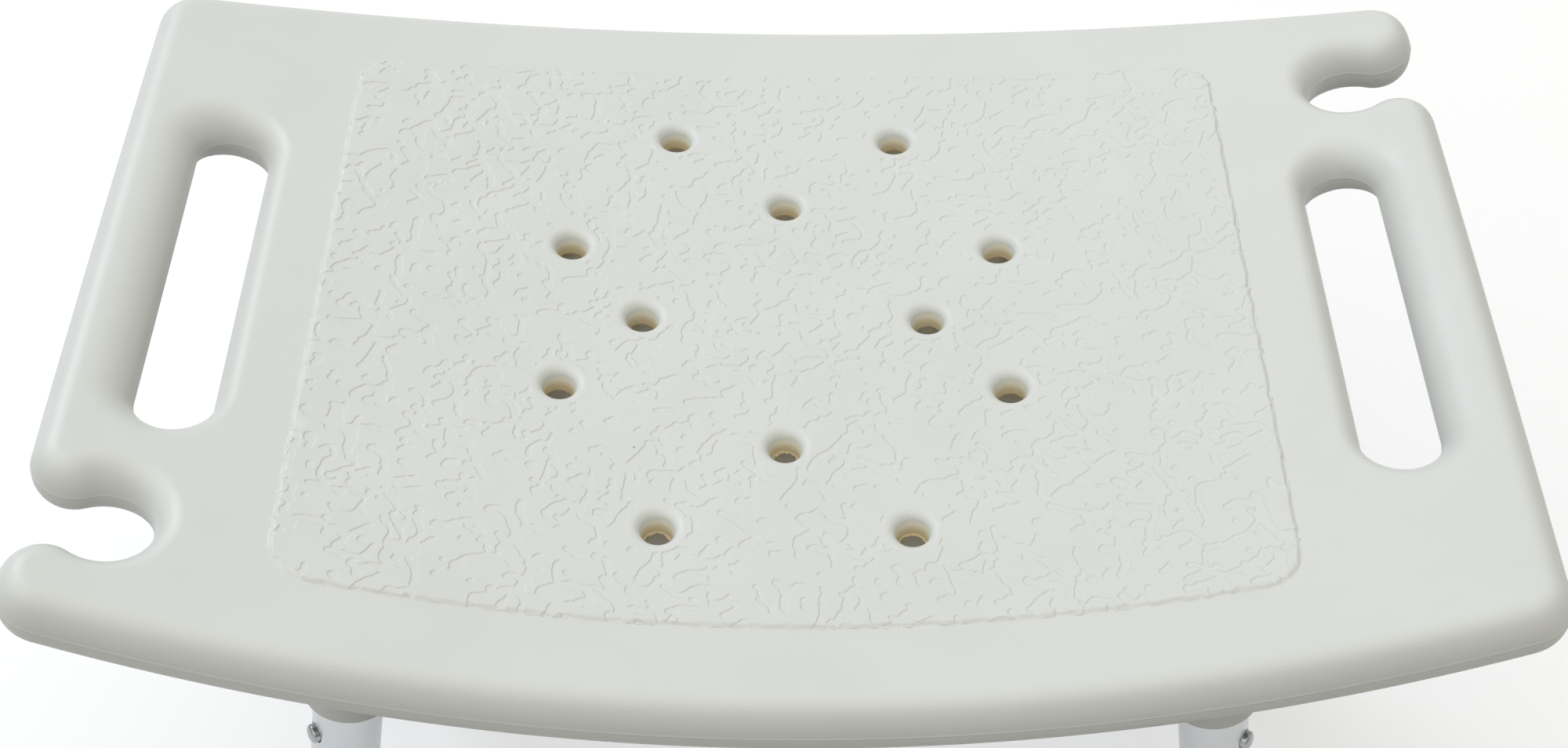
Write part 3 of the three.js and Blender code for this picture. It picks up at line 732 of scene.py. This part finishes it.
def panel_parts():
    """The panel's grained face with its soft edge, and the flat sides and back that lie in its bed."""
    field = grain_field(grain_lines(np.random.default_rng(grain_seed)))
    lip_points, lip_edges = contour(*field, 0)
    floor_points, floor_edges = contour(*field, grain_wall)
    loops = [panel_outline(step / 8 * panel_slope - panel_foot) for step in range(9)]
    points = [lip_points, floor_points]
    edges = [lip_edges, floor_edges + len(lip_points)]
    start = len(lip_points) + len(floor_points)
    for loop in loops[1:]:
        near = np.arange(len(loop))
        edges.append(np.column_stack((near, np.roll(near, -1))) + start)
        points.append(loop)
        start += len(loop)
    points.append(grid_points(panel_half, panel_reach, face_spacing))
    frame_loops = [loops[0], *drain_collars]
    flat, faces, given = fill(frame_loops, np.vstack(points), np.vstack(edges).tolist())
    x, y = flat.T
    ragged = np.sin(1.1 * x + 2 * np.sin(0.37 * y)) + np.sin(0.83 * y + 2 * np.sin(0.43 * x))
    inside = depth_in_panel(x, y) + panel_foot
    height = panel_height * smooth_step((inside + panel_ragged * ragged * (inside > 0.3)) / panel_slope)
    given -= sum(len(loop) for loop in frame_loops)
    cut = np.clip(between(*field, x, y) / grain_wall, 0, 1)
    cut[(given >= 0) & (given < len(lip_points))] = 0
    cut[(given >= len(lip_points)) & (given < len(lip_points) + len(floor_points))] = 1
    height = np.maximum(height - grain_depth * cut, np.minimum(height, 0))
    height[(given < 0) & (depth_in_panel(x, y) < 0.02 - panel_foot)] = 0
    sides = [band([loops[0], loops[0]], [edge_radius, panel_bed])]
    sides += [facing_back(band([loop, loop], [panel_top, panel_bed])) for loop in drain_collars]
    back, back_faces, _ = fill(frame_loops, grid_points(panel_half, panel_half, back_spacing))
    face = (np.column_stack((flat, edge_radius + height)), faces)
    return [face, *sides, facing_back((raised(back, panel_bed), back_faces))]


panel_mesh = joined("panel", panel_parts())
panel = points_of(panel_mesh)
below_face = (panel_top - panel[:, 2]) / grain_depth
in_grain = np.where(depth_in_panel(panel[:, 0], panel[:, 1]) > panel_slope, np.clip(below_face, 0, 1), 0)
panel_mesh.attributes.new("cut", "FLOAT", "POINT").data.foreach_set("value", in_grain)
dressed("seat_panel", panel_mesh, seat_finish, ["seat"], shape=bent, sharp=18)


# Leg sockets: flanged cups of glass-filled nylon that the tubes push into, injection-moulded with three ribs
# and screwed to the flat pads under the seat.
flange_radius = 26
flange_low = -4.3
flange_top = -0.3
socket_depth = 42
socket_bore = 13
socket_root_radius = 18
socket_root_round = 2.5
socket_mouth_radius = 16.2
rib_reach = 23
rib_low = -16.3
rib_half_width = 1.5
rib_cut = 4
rib_in_wall = 1.4
rib_in_flange = 0.5
rib_count = 3
nylon_edge = 0.6


def eased(profile, radius, closed=False):
    """A profile with its corners rounded, as far as the stretches beside them allow."""
    places = [np.array(place[:2], dtype=float) for place in profile]
    made = []
    for i, corner in enumerate(places):
        if not closed and i in (0, len(places) - 1):
            made.append(tuple(corner))
            continue
        before = places[i - 1] - corner
        after = places[(i + 1) % len(places)] - corner
        wanted = profile[i][2] if len(profile[i]) > 2 else radius
        reach = min(wanted, 0.45 * np.hypot(*before), 0.45 * np.hypot(*after))
        start = corner + before * reach / np.hypot(*before)
        end = corner + after * reach / np.hypot(*after)
        for share in (0, 0.25, 0.5, 0.75, 1):
            place = (1 - share) ** 2 * start + 2 * share * (1 - share) * corner + share**2 * end
            made.append(tuple(place))
    return made


def prism(outline, low, high, edge):
    """A flat part from an outline that runs anticlockwise, with its edges rounded."""
    shape = bmesh.new()
    rings = [[shape.verts.new((x, y, z)) for x, y in outline] for z in (low, high)]
    shape.faces.new(rings[0][::-1])
    shape.faces.new(rings[1])
    for i in range(len(outline)):
        shape.faces.new((rings[0][i - 1], rings[0][i], rings[1][i], rings[1][i - 1]))
    if edge:
        sharp = [line for line in shape.edges if line.calc_face_angle() > math.radians(35)]
        bmesh.ops.bevel(shape, geom=sharp, offset=edge, segments=3, profile=0.5, affect="EDGES")
    shape.verts.index_update()
    points = np.array([vert.co[:] for vert in shape.verts])
    faces = [[vert.index for vert in face.verts] for face in shape.faces]
    shape.free()
    return points, faces


def on_each_leg(node, ending, mesh, material, body="bench_frame", place=Matrix()):
    """The same piece on every leg, in place of that leg's node."""
    for leg in leg_azimuths:
        name = f"{node}_{leg}"
        dressed(name + ending, mesh, material, [name], leg_frame(leg) @ place, body.format(leg))


def moved(part, place):
    points, faces = part
    place = np.array(place)
    return points @ place[:3, :3].T + place[:3, 3], faces


def new_tree(name, inputs):
    """A Geometry Nodes tree with its named inputs, and their sockets."""
    tree = bpy.data.node_groups.new(name, "GeometryNodeTree")
    for title, kind in inputs.items():
        tree.interface.new_socket(title, in_out="INPUT", socket_type="NodeSocket" + kind)
    tree.interface.new_socket("Geometry", in_out="OUTPUT", socket_type="NodeSocketGeometry")
    return tree, tree.nodes.new("NodeGroupInput").outputs


def end_tree(tree, geometry, material):
    real = add(tree, "GeometryNodeRealizeInstances", {0: geometry}).outputs[0]
    coated = add(tree, "GeometryNodeSetMaterial", {"Geometry": real, "Material": material}).outputs[0]
    add(tree, "NodeGroupOutput", {0: coated})


def grown(tree, mesh, values):
    """The plain mesh that a tree makes from a mesh and from values for its named inputs."""
    holder = linked(tree.name, mesh)
    modifier = holder.modifiers.new(tree.name, "NODES")
    modifier.node_group = tree
    for item in tree.interface.items_tree:
        if item.in_out == "INPUT" and item.name in values:
            value = values[item.name]
            if item.socket_type == "NodeSocketFloat":
                value = float(value)
            elif item.socket_type == "NodeSocketVector":
                value = [float(part) for part in value]
            modifier[item.identifier] = value
    seen = holder.evaluated_get(bpy.context.evaluated_depsgraph_get())
    made = bpy.data.meshes.new_from_object(seen)
    bpy.data.objects.remove(holder)
    return made


def round_tree():
    """Sets a part round an axis, as many times as there are places, and joins it to a body."""
    inputs = {"Part": "Geometry", "Body": "Object", "Count": "Int", "First place": "Vector"}
    inputs |= {"First angle": "Float", "Step angle": "Float", "Material": "Material"}
    tree, given = new_tree("set round an axis", inputs)
    index = add(tree, "GeometryNodeInputIndex").outputs[0]
    sums = {0: index, 1: given["Step angle"], 2: given["First angle"]}
    angle = add(tree, "ShaderNodeMath", sums, operation="MULTIPLY_ADD").outputs[0]
    turned = {"Vector": given["First place"], "Angle": angle}
    place = add(tree, "ShaderNodeVectorRotate", turned, rotation_type="Z_AXIS").outputs[0]
    points = add(tree, "GeometryNodePoints", {"Count": given["Count"], "Position": place}).outputs[0]
    euler = add(tree, "ShaderNodeCombineXYZ", {"Z": angle}).outputs[0]
    turn = add(tree, "FunctionNodeEulerToRotation", {0: euler}).outputs[0]
    instances = {"Points": points, "Instance": given["Part"], "Rotation": turn}
    copies = add(tree, "GeometryNodeInstanceOnPoints", instances).outputs[0]
    body = add(tree, "GeometryNodeObjectInfo", {"Object": given["Body"]}).outputs["Geometry"]
    both = add(tree, "GeometryNodeJoinGeometry", {0: copies})
    tree.links.new(body, both.inputs[0])
    end_tree(tree, both.outputs[0], given["Material"])
    return tree


# Injection-moulded nylon: a greyer white than the seat, with a faint cloudy blush and a fine eroded grit,
# which is drawn 0.7 mm coarse so that it shows
nylon_finish = coated(
    "injection-moulded nylon",
    ("#cdcfcb", "#c3c6c2"),
    (14, 2, 0.5),
    (0.7, 2, 0.6),
    (0.4, 0.54),
    (0.6, 0.05),
    IOR=1.53,
)
set_round = round_tree()
cup = revolve(
    eased(
        [
            (0, flange_low),
            (socket_bore, flange_low),
            (socket_bore, -socket_depth),
            (socket_mouth_radius, -socket_depth),
            (socket_root_radius, flange_low, socket_root_round),
            (flange_radius, flange_low),
            (flange_radius, flange_top),
            (0, flange_top),
        ],
        nylon_edge,
    )
)
rib_outline = [
    (socket_mouth_radius - rib_in_wall, rib_low),
    (rib_reach - rib_cut, rib_low),
    (rib_reach, rib_low + rib_cut),
    (rib_reach, flange_low + rib_in_flange),
    (socket_mouth_radius - rib_in_wall, flange_low + rib_in_flange),
]
upright = Matrix.Rotation(quarter, 4, "X")
rib = moved(prism(rib_outline, -rib_half_width, rib_half_width, nylon_edge), upright)
cup_holder = bpy.data.objects.new("cup", joined("cup", [cup]))
rib_ring = {"Body": cup_holder, "Count": rib_count, "Step angle": 4 * quarter / rib_count}
socket_mesh = grown(set_round, joined("rib", [rib]), rib_ring | {"Material": nylon_finish})
bpy.data.objects.remove(cup_holder)
on_each_leg("leg_socket", "_cup", socket_mesh, nylon_finish)


# Screws: pan-head screws of stainless steel, cold-headed with a cross recess. Three hold each socket's
# flange to its pad, one pins the tube in its socket, and one holds each end of a brace bar.
screw_radius = 1.8
screw_head_radius = 3.4
screw_head_height = 2.4
screw_thread_pitch = 0.8
screw_circle = 21.6
screw_count = 3
thread_root = 0.84
recess_width = 0.8
recess_length = 3.6
recess_depth = 1.3
flange_screw_length = 13.6
pin_screw_length = 9.55
screw_seat = 0.3
pin_down = 25
pin_out = 18.3
difference = {"operation": "DIFFERENCE", "solver": "EXACT"}


def screw_blank(radius, length, head_radius, head_height, pitch):
    """A screw with its head below zero: a domed head, a plain neck and a ridged shank with a point."""
    profile = [(0, -head_height), (head_radius * 0.45, -head_height * 0.985)]
    turns = np.linspace(0.35, quarter, 6)
    profile += [
        (head_radius * (0.45 + 0.55 * math.sin(turn)), -head_height * (0.3 + 0.7 * math.cos(turn)))
        for turn in turns
    ]
    profile += [(head_radius, -0.15), (head_radius - 0.15, 0), (radius, 0), (radius * 0.86, 0.6)]
    height = 1.2
    while height + pitch < length - radius:
        profile += [(radius * thread_root, height), (radius, height + pitch / 2)]
        height += pitch
    profile += [(radius * thread_root, length - radius), (0, length)]
    return joined("screw", [revolve(profile, 32)])


def recess_tree():
    """Presses a cross into a screw's head."""
    inputs = {"Screw": "Geometry", "Head": "Vector", "Recess size": "Vector", "Material": "Material"}
    tree, given = new_tree("cross recess", inputs)
    wing = add(tree, "GeometryNodeMeshCube", {"Size": given["Recess size"]}).outputs["Mesh"]
    turned = add(tree, "GeometryNodeTransform", {"Geometry": wing, "Rotation": (0, 0, quarter)}).outputs[0]
    cut = given["Screw"]
    for part in (wing, turned):
        placed = {"Geometry": part, "Translation": given["Head"]}
        meshes = {"Mesh 1": cut, "Mesh 2": add(tree, "GeometryNodeTransform", placed).outputs[0]}
        cut = add(tree, "GeometryNodeMeshBoolean", meshes, **difference).outputs["Mesh"]
    end_tree(tree, cut, given["Material"])
    return tree


# Cold-headed stainless steel: bright grey with fine tumbling marks
steel_finish = coated(
    "cold-headed stainless steel",
    ("#b4b6b7", "#9da0a2"),
    (1.2, 4, 0.7),
    (1.2, 4, 0.7),
    (0.2, 0.39),
    (0.4, 0.02),
    Metallic=1,
)
press_recess = recess_tree()


def recessed(blank, head_height, width, length, depth):
    """A screw with a cross in its head. The cutters reach as far above the head as below it."""
    sizes = {"Head": (0, 0, -head_height), "Recess size": (length, width, 2 * depth)}
    return grown(press_recess, blank, sizes | {"Material": steel_finish})


def small_screw(length):
    blank = screw_blank(screw_radius, length, screw_head_radius, screw_head_height, screw_thread_pitch)
    return recessed(blank, screw_head_height, recess_width, recess_length, recess_depth)


screw_ring = {"Count": screw_count, "First place": (screw_circle, 0, 0), "First angle": math.pi / 3}
screw_ring |= {"Step angle": 4 * quarter / screw_count, "Material": steel_finish}
flange_screws = grown(set_round, small_screw(flange_screw_length), screw_ring)
for leg in leg_azimuths:
    under_flange = leg_frame(leg) @ Matrix.Translation((0, 0, flange_low - screw_seat))
    nodes = [f"socket_screw_{letter}_{leg}" for letter in "abc"]
    dressed(f"socket_screws_{leg}", flange_screws, steel_finish, nodes, under_flange)
pin_place = Matrix.Translation((-pin_out, 0, -pin_down)) @ Matrix.Rotation(quarter, 4, "Y")
pin_screw = small_screw(pin_screw_length)
on_each_leg("tube_screw", "_pan_head", pin_screw, steel_finish, place=pin_place)


# Tubes: drawn aluminium tube, anodised to a satin silver. The upper tube has a row of punched snap holes on
# its outer side, and the extension tube that slides in it has one.
tube_radius = 12.7
tube_wall = 1.25
tube_high = -4.6
tube_low = -262
snap_hole_radius = 4
first_snap_hole = 92
snap_pitch = 25
snap_count = 7
extension_radius = 11.1
extension_high = -62
extension_low = -348.82
hole_sides = 40
draw_line_width = 0.45
draw_line_length = 27


def drilled_tree():
    """A tube with a row of holes in one side."""
    inputs = {"Nothing": "Geometry", "Outer radius": "Float", "Bore radius": "Float", "Length": "Float"}
    inputs |= {"Bore length": "Float", "Middle": "Vector", "Hole radius": "Float", "First hole": "Vector"}
    inputs |= {"Hole step": "Vector", "Hole count": "Int", "Material": "Material"}
    tree, given = new_tree("drilled tube", inputs)
    rods = []
    for sides, radius, length, placed in (
        (round_sides, "Outer radius", "Length", {"Translation": given["Middle"]}),
        (round_sides, "Bore radius", "Bore length", {"Translation": given["Middle"]}),
        (hole_sides, "Hole radius", "Outer radius", {"Rotation": (0, quarter, 0)}),
    ):
        sizes = {"Vertices": sides, "Radius": given[radius], "Depth": given[length]}
        rod = add(tree, "GeometryNodeMeshCylinder", sizes).outputs["Mesh"]
        rods.append(add(tree, "GeometryNodeTransform", {"Geometry": rod} | placed).outputs[0])
    skin, core, drill = rods
    places = {"Count": given["Hole count"], "Start Location": given["First hole"]}
    places["Offset"] = given["Hole step"]
    row = add(tree, "GeometryNodeMeshLine", places, mode="OFFSET").outputs[0]
    drills = add(tree, "GeometryNodeInstanceOnPoints", {"Points": row, "Instance": drill}).outputs[0]
    real = add(tree, "GeometryNodeRealizeInstances", {0: drills}).outputs[0]
    for cutter in (core, real):
        meshes = {"Mesh 1": skin, "Mesh 2": cutter}
        skin = add(tree, "GeometryNodeMeshBoolean", meshes, **difference).outputs["Mesh"]
    end_tree(tree, skin, given["Material"])
    return tree


# Satin anodised drawn aluminium: a soft silver with faint lines along the tube from the drawing die. The
# real lines are too fine to show, and are drawn 0.45 mm wide.
aluminium_finish = coated(
    "satin anodised drawn aluminium",
    ("#cacdd0", "#bcc0c4"),
    (20, 2, 0.5),
    ((draw_line_width, draw_line_width, draw_line_length), 3, 0.65),
    (0.25, 0.43),
    (0.5, 0.015),
    streaked=True,
    Metallic=1,
)
drill_tube = drilled_tree()
nothing = bpy.data.meshes.new("nothing")


def drilled_tube(radius, low, high, holes):
    length = high - low
    sizes = {"Outer radius": radius, "Bore radius": radius - tube_wall, "Length": length}
    sizes |= {"Bore length": 2 * length, "Middle": (0, 0, (low + high) / 2)}
    sizes |= {"Hole radius": snap_hole_radius, "First hole": (radius, 0, -first_snap_hole)}
    sizes |= {"Hole step": (0, 0, -snap_pitch), "Hole count": holes, "Material": aluminium_finish}
    return grown(drill_tube, nothing, sizes)


upper_mesh = drilled_tube(tube_radius, tube_low, tube_high, snap_count)
extension_mesh = drilled_tube(extension_radius, extension_low, extension_high, 1)
on_each_leg("upper_tube", "_skin", upper_mesh, aluminium_finish)
on_each_leg("extension_tube", "_skin", extension_mesh, aluminium_finish, "extension_{}")


# Brace collars: nylon rings round the tubes, each moulded with a forked ear that takes the end of a brace
# bar and a screw through both.
collar_down = 60
collar_half_height = 12
collar_radius = 16.6
ear_end = -46.7
ear_half_width = 13.5
ear_half_height = 8.5
ear_round = 9
fork_end = -21.7
fork_half_gap = 1.8
bar_offset = 1.65
brace_screw_x = -37.7
brace_screw_length = 13.9


def carved(name, parts, cutters, edge):
    """Parts joined into one solid, less the cutters, with its edges rounded."""
    objects = [linked(name, joined(name, [part])) for part in (*parts, *cutters)]
    for i, tool in enumerate(objects[1:]):
        modifier = objects[0].modifiers.new("cut", "BOOLEAN")
        modifier.object = tool
        modifier.solver = "EXACT"
        modifier.operation = "UNION" if i < len(parts) - 1 else "DIFFERENCE"
    bevel = objects[0].modifiers.new("edges", "BEVEL")
    bevel.width = edge
    bevel.segments = 2
    bevel.limit_method = "ANGLE"
    bevel.angle_limit = math.radians(40)
    bpy.context.view_layer.update()
    seen = objects[0].evaluated_get(bpy.context.evaluated_depsgraph_get())
    made = bpy.data.meshes.new_from_object(seen)
    for piece in objects:
        bpy.data.objects.remove(piece)
    return made


def block(x, y, z, edge=0):
    """A block between two places along each axis."""
    return prism([(x[0], y[0]), (x[1], y[0]), (x[1], y[1]), (x[0], y[1])], *z, edge)


def rod(radius, low, high, sides=round_sides):
    return revolve([(0, low), (radius, low), (radius, high), (0, high)], sides)


levelled = Matrix.Translation((0, 0, -collar_down)) @ Matrix.Rotation(leg_splay, 4, "Y")


def collar_mesh(bar_side):
    low, high = -collar_down - collar_half_height, -collar_down + collar_half_height
    round_x = ear_end + ear_round
    round_y = ear_half_width - ear_round
    outline = [(0, ear_half_width)]
    outline += arc(round_x, round_y, ear_round, quarter, 2 * quarter, 8).tolist()
    outline += arc(round_x, -round_y, ear_round, 2 * quarter, 3 * quarter, 8).tolist()
    outline.append((0, -ear_half_width))
    ear = moved(prism(outline, -ear_half_height, ear_half_height, 0), levelled)
    gap = bar_side * bar_offset
    fork = block((ear_end - 9, fork_end), (-40, 40), (gap - fork_half_gap, gap + fork_half_gap))
    bore = rod(socket_bore, low - 20, high + 20)
    return carved("collar", [rod(collar_radius, low, high), ear], [moved(fork, levelled), bore], nylon_edge)


collars = {side: collar_mesh(side) for side in (1, -1)}
for leg, side in {"front_left": 1, "front_right": -1, "back_left": -1, "back_right": 1}.items():
    name = f"brace_collar_{leg}"
    dressed(name + "_fork", collars[side], nylon_finish, [name], leg_frame(leg))
below_ear = levelled @ Matrix.Translation((brace_screw_x, 0, -ear_half_height - screw_seat))
brace_screw = small_screw(brace_screw_length)
on_each_leg("brace_screw", "_pan_head", brace_screw, steel_finish, place=below_ear)


# Brace: two flat aluminium bars that cross under the seat, punched at both ends and in the middle, where
# a stainless bolt and nut hold them together.
bar_half_length = 160.96
bar_half_width = 10
bar_half_thickness = 1.5
bar_edge = 0.35
bar_screw_reach = 145.26
bar_hole_radius = 2.1
hub_hole_radius = 3.3
hub_radius = 3
hub_head_radius = 5.5
hub_head_height = 3.4
hub_length = 13.3
hub_thread_pitch = 1
hub_recess_width = 1.2
hub_recess_length = 6
hub_recess_depth = 1.9
hub_face = 3.45
brace_height = pad_height - collar_down * math.cos(leg_splay)

bar_outline = arc(bar_half_length - bar_half_width, 0, bar_half_width, -quarter, quarter, 24).tolist()
bar_outline += arc(bar_half_width - bar_half_length, 0, bar_half_width, quarter, 3 * quarter, 24).tolist()
bar_holes = [(-bar_screw_reach, bar_hole_radius), (0, hub_hole_radius), (bar_screw_reach, bar_hole_radius)]
bar_drills = [
    moved(rod(radius, -9, 9, hole_sides), Matrix.Translation((x, 0, 0))) for x, radius in bar_holes
]
bar_blank = prism(bar_outline, -bar_half_thickness, bar_half_thickness, 0)
bar_mesh = carved("bar", [bar_blank], bar_drills, bar_edge)
for name, side in (("upper", 1), ("lower", -1)):
    place = Matrix.Translation((0, 0, brace_height + side * bar_offset))
    place = place @ Matrix.Rotation(side * leg_azimuth, 4, "Z")
    node = f"brace_bar_{name}"
    dressed(node + "_flat", bar_mesh, aluminium_finish, [node], place)

hub_blank = screw_blank(hub_radius, hub_length, hub_head_radius, hub_head_height, hub_thread_pitch)
hub_bolt = recessed(hub_blank, hub_head_height, hub_recess_width, hub_recess_length, hub_recess_depth)
around = np.arange(round_sides) * (4 * quarter / round_sides)
flat_radius = hub_head_radius * math.cos(math.pi / 6)
hexagon = flat_radius / np.cos((around + math.pi / 6) % (math.pi / 3) - math.pi / 6)
rounded_hexagon = np.minimum(hexagon, hub_head_radius * 0.97)
chamfer = flat_radius * 0.98
shoulder = np.minimum(hexagon, chamfer + 0.25)
nut_end = [(hub_hole_radius + 0.4, 0), (chamfer, 0), (shoulder, 0.15), (rounded_hexagon, 0.55)]
nut_profile = [(hub_hole_radius, 0), *nut_end]
nut_profile += [(radius, hub_head_height - height) for radius, height in nut_end[::-1]]
nut_profile.append((hub_hole_radius, hub_head_height - 0.4))
nut = joined("nut", [revolve(nut_profile, closed=True)])
bolt_place = Matrix.Translation((0, 0, brace_height - hub_face))
nut_place = Matrix.Translation((0, 0, brace_height + hub_face))
dressed("brace_hub_bolt_head", hub_bolt, steel_finish, ["brace_hub_bolt"], bolt_place)
dressed("brace_hub_hex_nut", nut, steel_finish, ["brace_hub_nut"], nut_place, sharp=25)


# Bushes: nylon rings pressed over the lower ends of the upper tubes, which guide the extension tubes.
bush_radius = 14.8
bush_hold = 13
bush_bore = 11.4
bush_high = -248.3
bush_shelf = -262.3
bush_low = -264.7
bush_profile = [(bush_bore, bush_low), (bush_radius, bush_low), (bush_radius, bush_high)]
bush_profile += [(bush_hold, bush_high), (bush_hold, bush_shelf), (bush_bore, bush_shelf)]
bush_mesh = joined("bush", [revolve(eased(bush_profile, nylon_edge, closed=True), closed=True)])
on_each_leg("tube_bush", "_ring", bush_mesh, nylon_finish)


# Snap buttons: turned steel pins on the free arms of bent strips of spring steel in the extension tubes.
button_radius = 3.6
button_start = 7.9
button_tip = 15.3
button_round = 1.6
arm_x = (7.7, 8.5)
arm_y = (-3.5, 3.5)
arm_z = (-142.3, -88.1)
arm_edge = 0.2
button_neck = button_tip - button_round
button_profile = [(0, button_start), (button_radius, button_start), (button_radius, button_neck)]
for turn in np.linspace(0.25, quarter, 6)[:-1]:
    button_profile.append((button_radius * math.cos(turn), button_neck + button_round * math.sin(turn)))
button_profile.append((0, button_tip))
outwards = Matrix.Translation((0, 0, -first_snap_hole)) @ Matrix.Rotation(quarter, 4, "Y")
button_head = moved(revolve(button_profile, 48), outwards)
button_mesh = joined("button", [button_head, block(arm_x, arm_y, arm_z, arm_edge)])
on_each_leg("snap_button", "_pin", button_mesh, steel_finish, "button_{}")


# Springs: the bent strips behind the buttons. Their plain solids have the right shape, so they keep it.
# Hardened spring steel: darker than the screws, with the brown cast of the tempering. The sizes are in
# metres here, as the nodes' own meshes are.
spring_finish = coated(
    "tempered spring steel",
    ("#8d8880", "#74706b"),
    (0.004, 3, 0.6),
    (0.004, 3, 0.6),
    (0.3, 0.45),
    (0, 0.01),
    own=False,
    Metallic=1,
)
for leg in leg_azimuths:
    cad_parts[f"button_spring_{leg}"].material_slots[0].material = spring_finish


# Feet: grey rubber tips pushed over the extension tubes, moulded with a thick rim at the mouth, a wide flat
# sole and a ring groove that lets water out from under it.
leg_length = pad_height / math.cos(leg_splay)
foot_bore = 11.4
foot_bore_floor = 8
sole_profile = [
    (0, 0),
    (9.9, 0),
    (9.9, 1.4),
    (12.5, 1.4),
    (12.5, 0),
    (19.4, 0),
    (21, 1.6),
    (21, 4.8, 1.5),
    (15.6, 8, 2.5),
    (15, 14, 2.5),
    (15, 38),
    (16.4, 39.4),
    (16.4, 42.2, 1.2),
    (14.8, 44, 1),
    (foot_bore, 44),
]
rubber_colours = ("#74777a", "#8a8c8d")
rubber_scuff_size = 5
rubber_pore_size = 0.5


def foot_part():
    """A turned foot whose sole lies level while its sleeve follows the leg."""
    profile = eased(sole_profile, 0.5)
    rings = [(radius, height, smooth_step((height - 7) / 10)) for radius, height in profile]
    rings += [(foot_bore, foot_bore_floor, 1), (0, foot_bore_floor, 1)]
    points, faces = revolve([ring[:2] for ring in rings])
    start = 0
    for radius, height, share in rings:
        count = 1 if radius == 0 else round_sides
        turn = Matrix.Rotation(leg_splay * (1 - float(share)), 3, "Y")
        points[start : start + count] = points[start : start + count] @ np.array(turn).T
        start += count
    return points - (0, 0, leg_length), faces


# Moulded rubber: dull grey, a little paler where it is rubbed. Its pores are too fine to show, and are drawn
# half a millimetre wide.
rubber_finish = coated(
    "moulded grey rubber",
    rubber_colours,
    (rubber_scuff_size, 5, 0.7),
    (rubber_pore_size, 2, 0.5),
    (0.82, 0.82),
    (0.7, 0.08),
    tint_range=(0.5, 0.75),
    IOR=1.52,
)
on_each_leg("foot", "_tip", joined("foot", [foot_part()]), rubber_finish, "extension_{}")


# Floor and light: a pale seamless floor, a window behind the left of the bench, and soft light from above
# and from all sides. The floor goes down with one foot, so that the bench still stands on it with its legs
# drawn out. A side's light has a direction, how narrow it is about it, its strength and its colour.
floor_half = 30
floor_colour = "#fcfcfb"
floor_roughness = 0.9
side_lights = [
    ((0, 0, 1), 4, 0.64, "#fffcf7"),
    ((-0.707, 0, 0.707), 4, 0.43, "#f8fbff"),
    ((0.707, 0, 0.707), 4, 0.37, "#fffcf6"),
    ((-0.26, -0.7, 0.66), 4, 1.4, "#fdfbf7"),
    ((0, 0.707, 0.707), 4, 0.47, "#fffdf8"),
    ((0, 0.99, 0.14), 8, 0.93, "#ffffff"),
    ((0.98, 0, 0.2), 4, 0.45, "#fffdf8"),
    ((-0.98, 0, 0.2), 4, 0.28, "#f6faff"),
    ((0, 0, -1), 1, 0.17, "#fbeee0"),
]
window_colour = "#deebff"
window_power = 20
window_size = 1.2
window_place = Vector((-1.5, 1.2, 2.1))
window_aim = Vector((0, 0, seat_middle * MM))

floor_mesh = bpy.data.meshes.new("floor")
floor_corners = [(-floor_half, -floor_half, 0), (floor_half, -floor_half, 0)]
floor_corners += [(floor_half, floor_half, 0), (-floor_half, floor_half, 0)]
floor_mesh.from_pydata(floor_corners, [], [(0, 1, 2, 3)])
floor_finish, floor_tree = empty_material("pale painted floor")
floor_paint = {"Base Color": linear(floor_colour), "Roughness": floor_roughness}
floor_shader = add(floor_tree, "ShaderNodeBsdfPrincipled", floor_paint)
add(floor_tree, "ShaderNodeOutputMaterial", {"Surface": floor_shader.outputs[0]})
floor_mesh.materials.append(floor_finish)
floor = linked("floor", floor_mesh)
floor.visible_diffuse = False
floor.visible_shadow = False
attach(floor, "extension_front_left")

window_light = bpy.data.lights.new("window", "AREA")
window_light.energy = window_power
window_light.size = window_size
window_light.color = linear(window_colour)[:3]
window = linked("window", window_light)
window.location = window_place
window.rotation_euler = (window_aim - window_place).to_track_quat("-Z", "Y").to_euler()

room = bpy.data.worlds.new("room")
room.use_nodes = True
room_tree = room.node_tree
room_tree.nodes.clear()
way = add(room_tree, "ShaderNodeTexCoord").outputs["Generated"]
glow = (0, 0, 0)
for direction, narrowness, strength, colour in side_lights:
    facing = add(room_tree, "ShaderNodeVectorMath", {0: way, 1: direction}, operation="DOT_PRODUCT")
    ahead = add(room_tree, "ShaderNodeMath", {0: facing.outputs["Value"], 1: 0}, operation="MAXIMUM")
    ahead = ahead.outputs[0]
    share = add(room_tree, "ShaderNodeMath", {0: ahead, 1: narrowness}, operation="POWER").outputs[0]
    light = [part * strength for part in linear(colour)[:3]]
    lit = add(room_tree, "ShaderNodeVectorMath", {0: light, "Scale": share}, operation="SCALE").outputs[0]
    glow = add(room_tree, "ShaderNodeVectorMath", {0: glow, 1: lit}, operation="ADD").outputs[0]
room_light = add(room_tree, "ShaderNodeBackground", {"Color": glow})
add(room_tree, "ShaderNodeOutputWorld", {"Surface": room_light.outputs[0]})
bpy.context.scene.world = room
bpy.context.scene.view_settings.view_transform = "Standard"
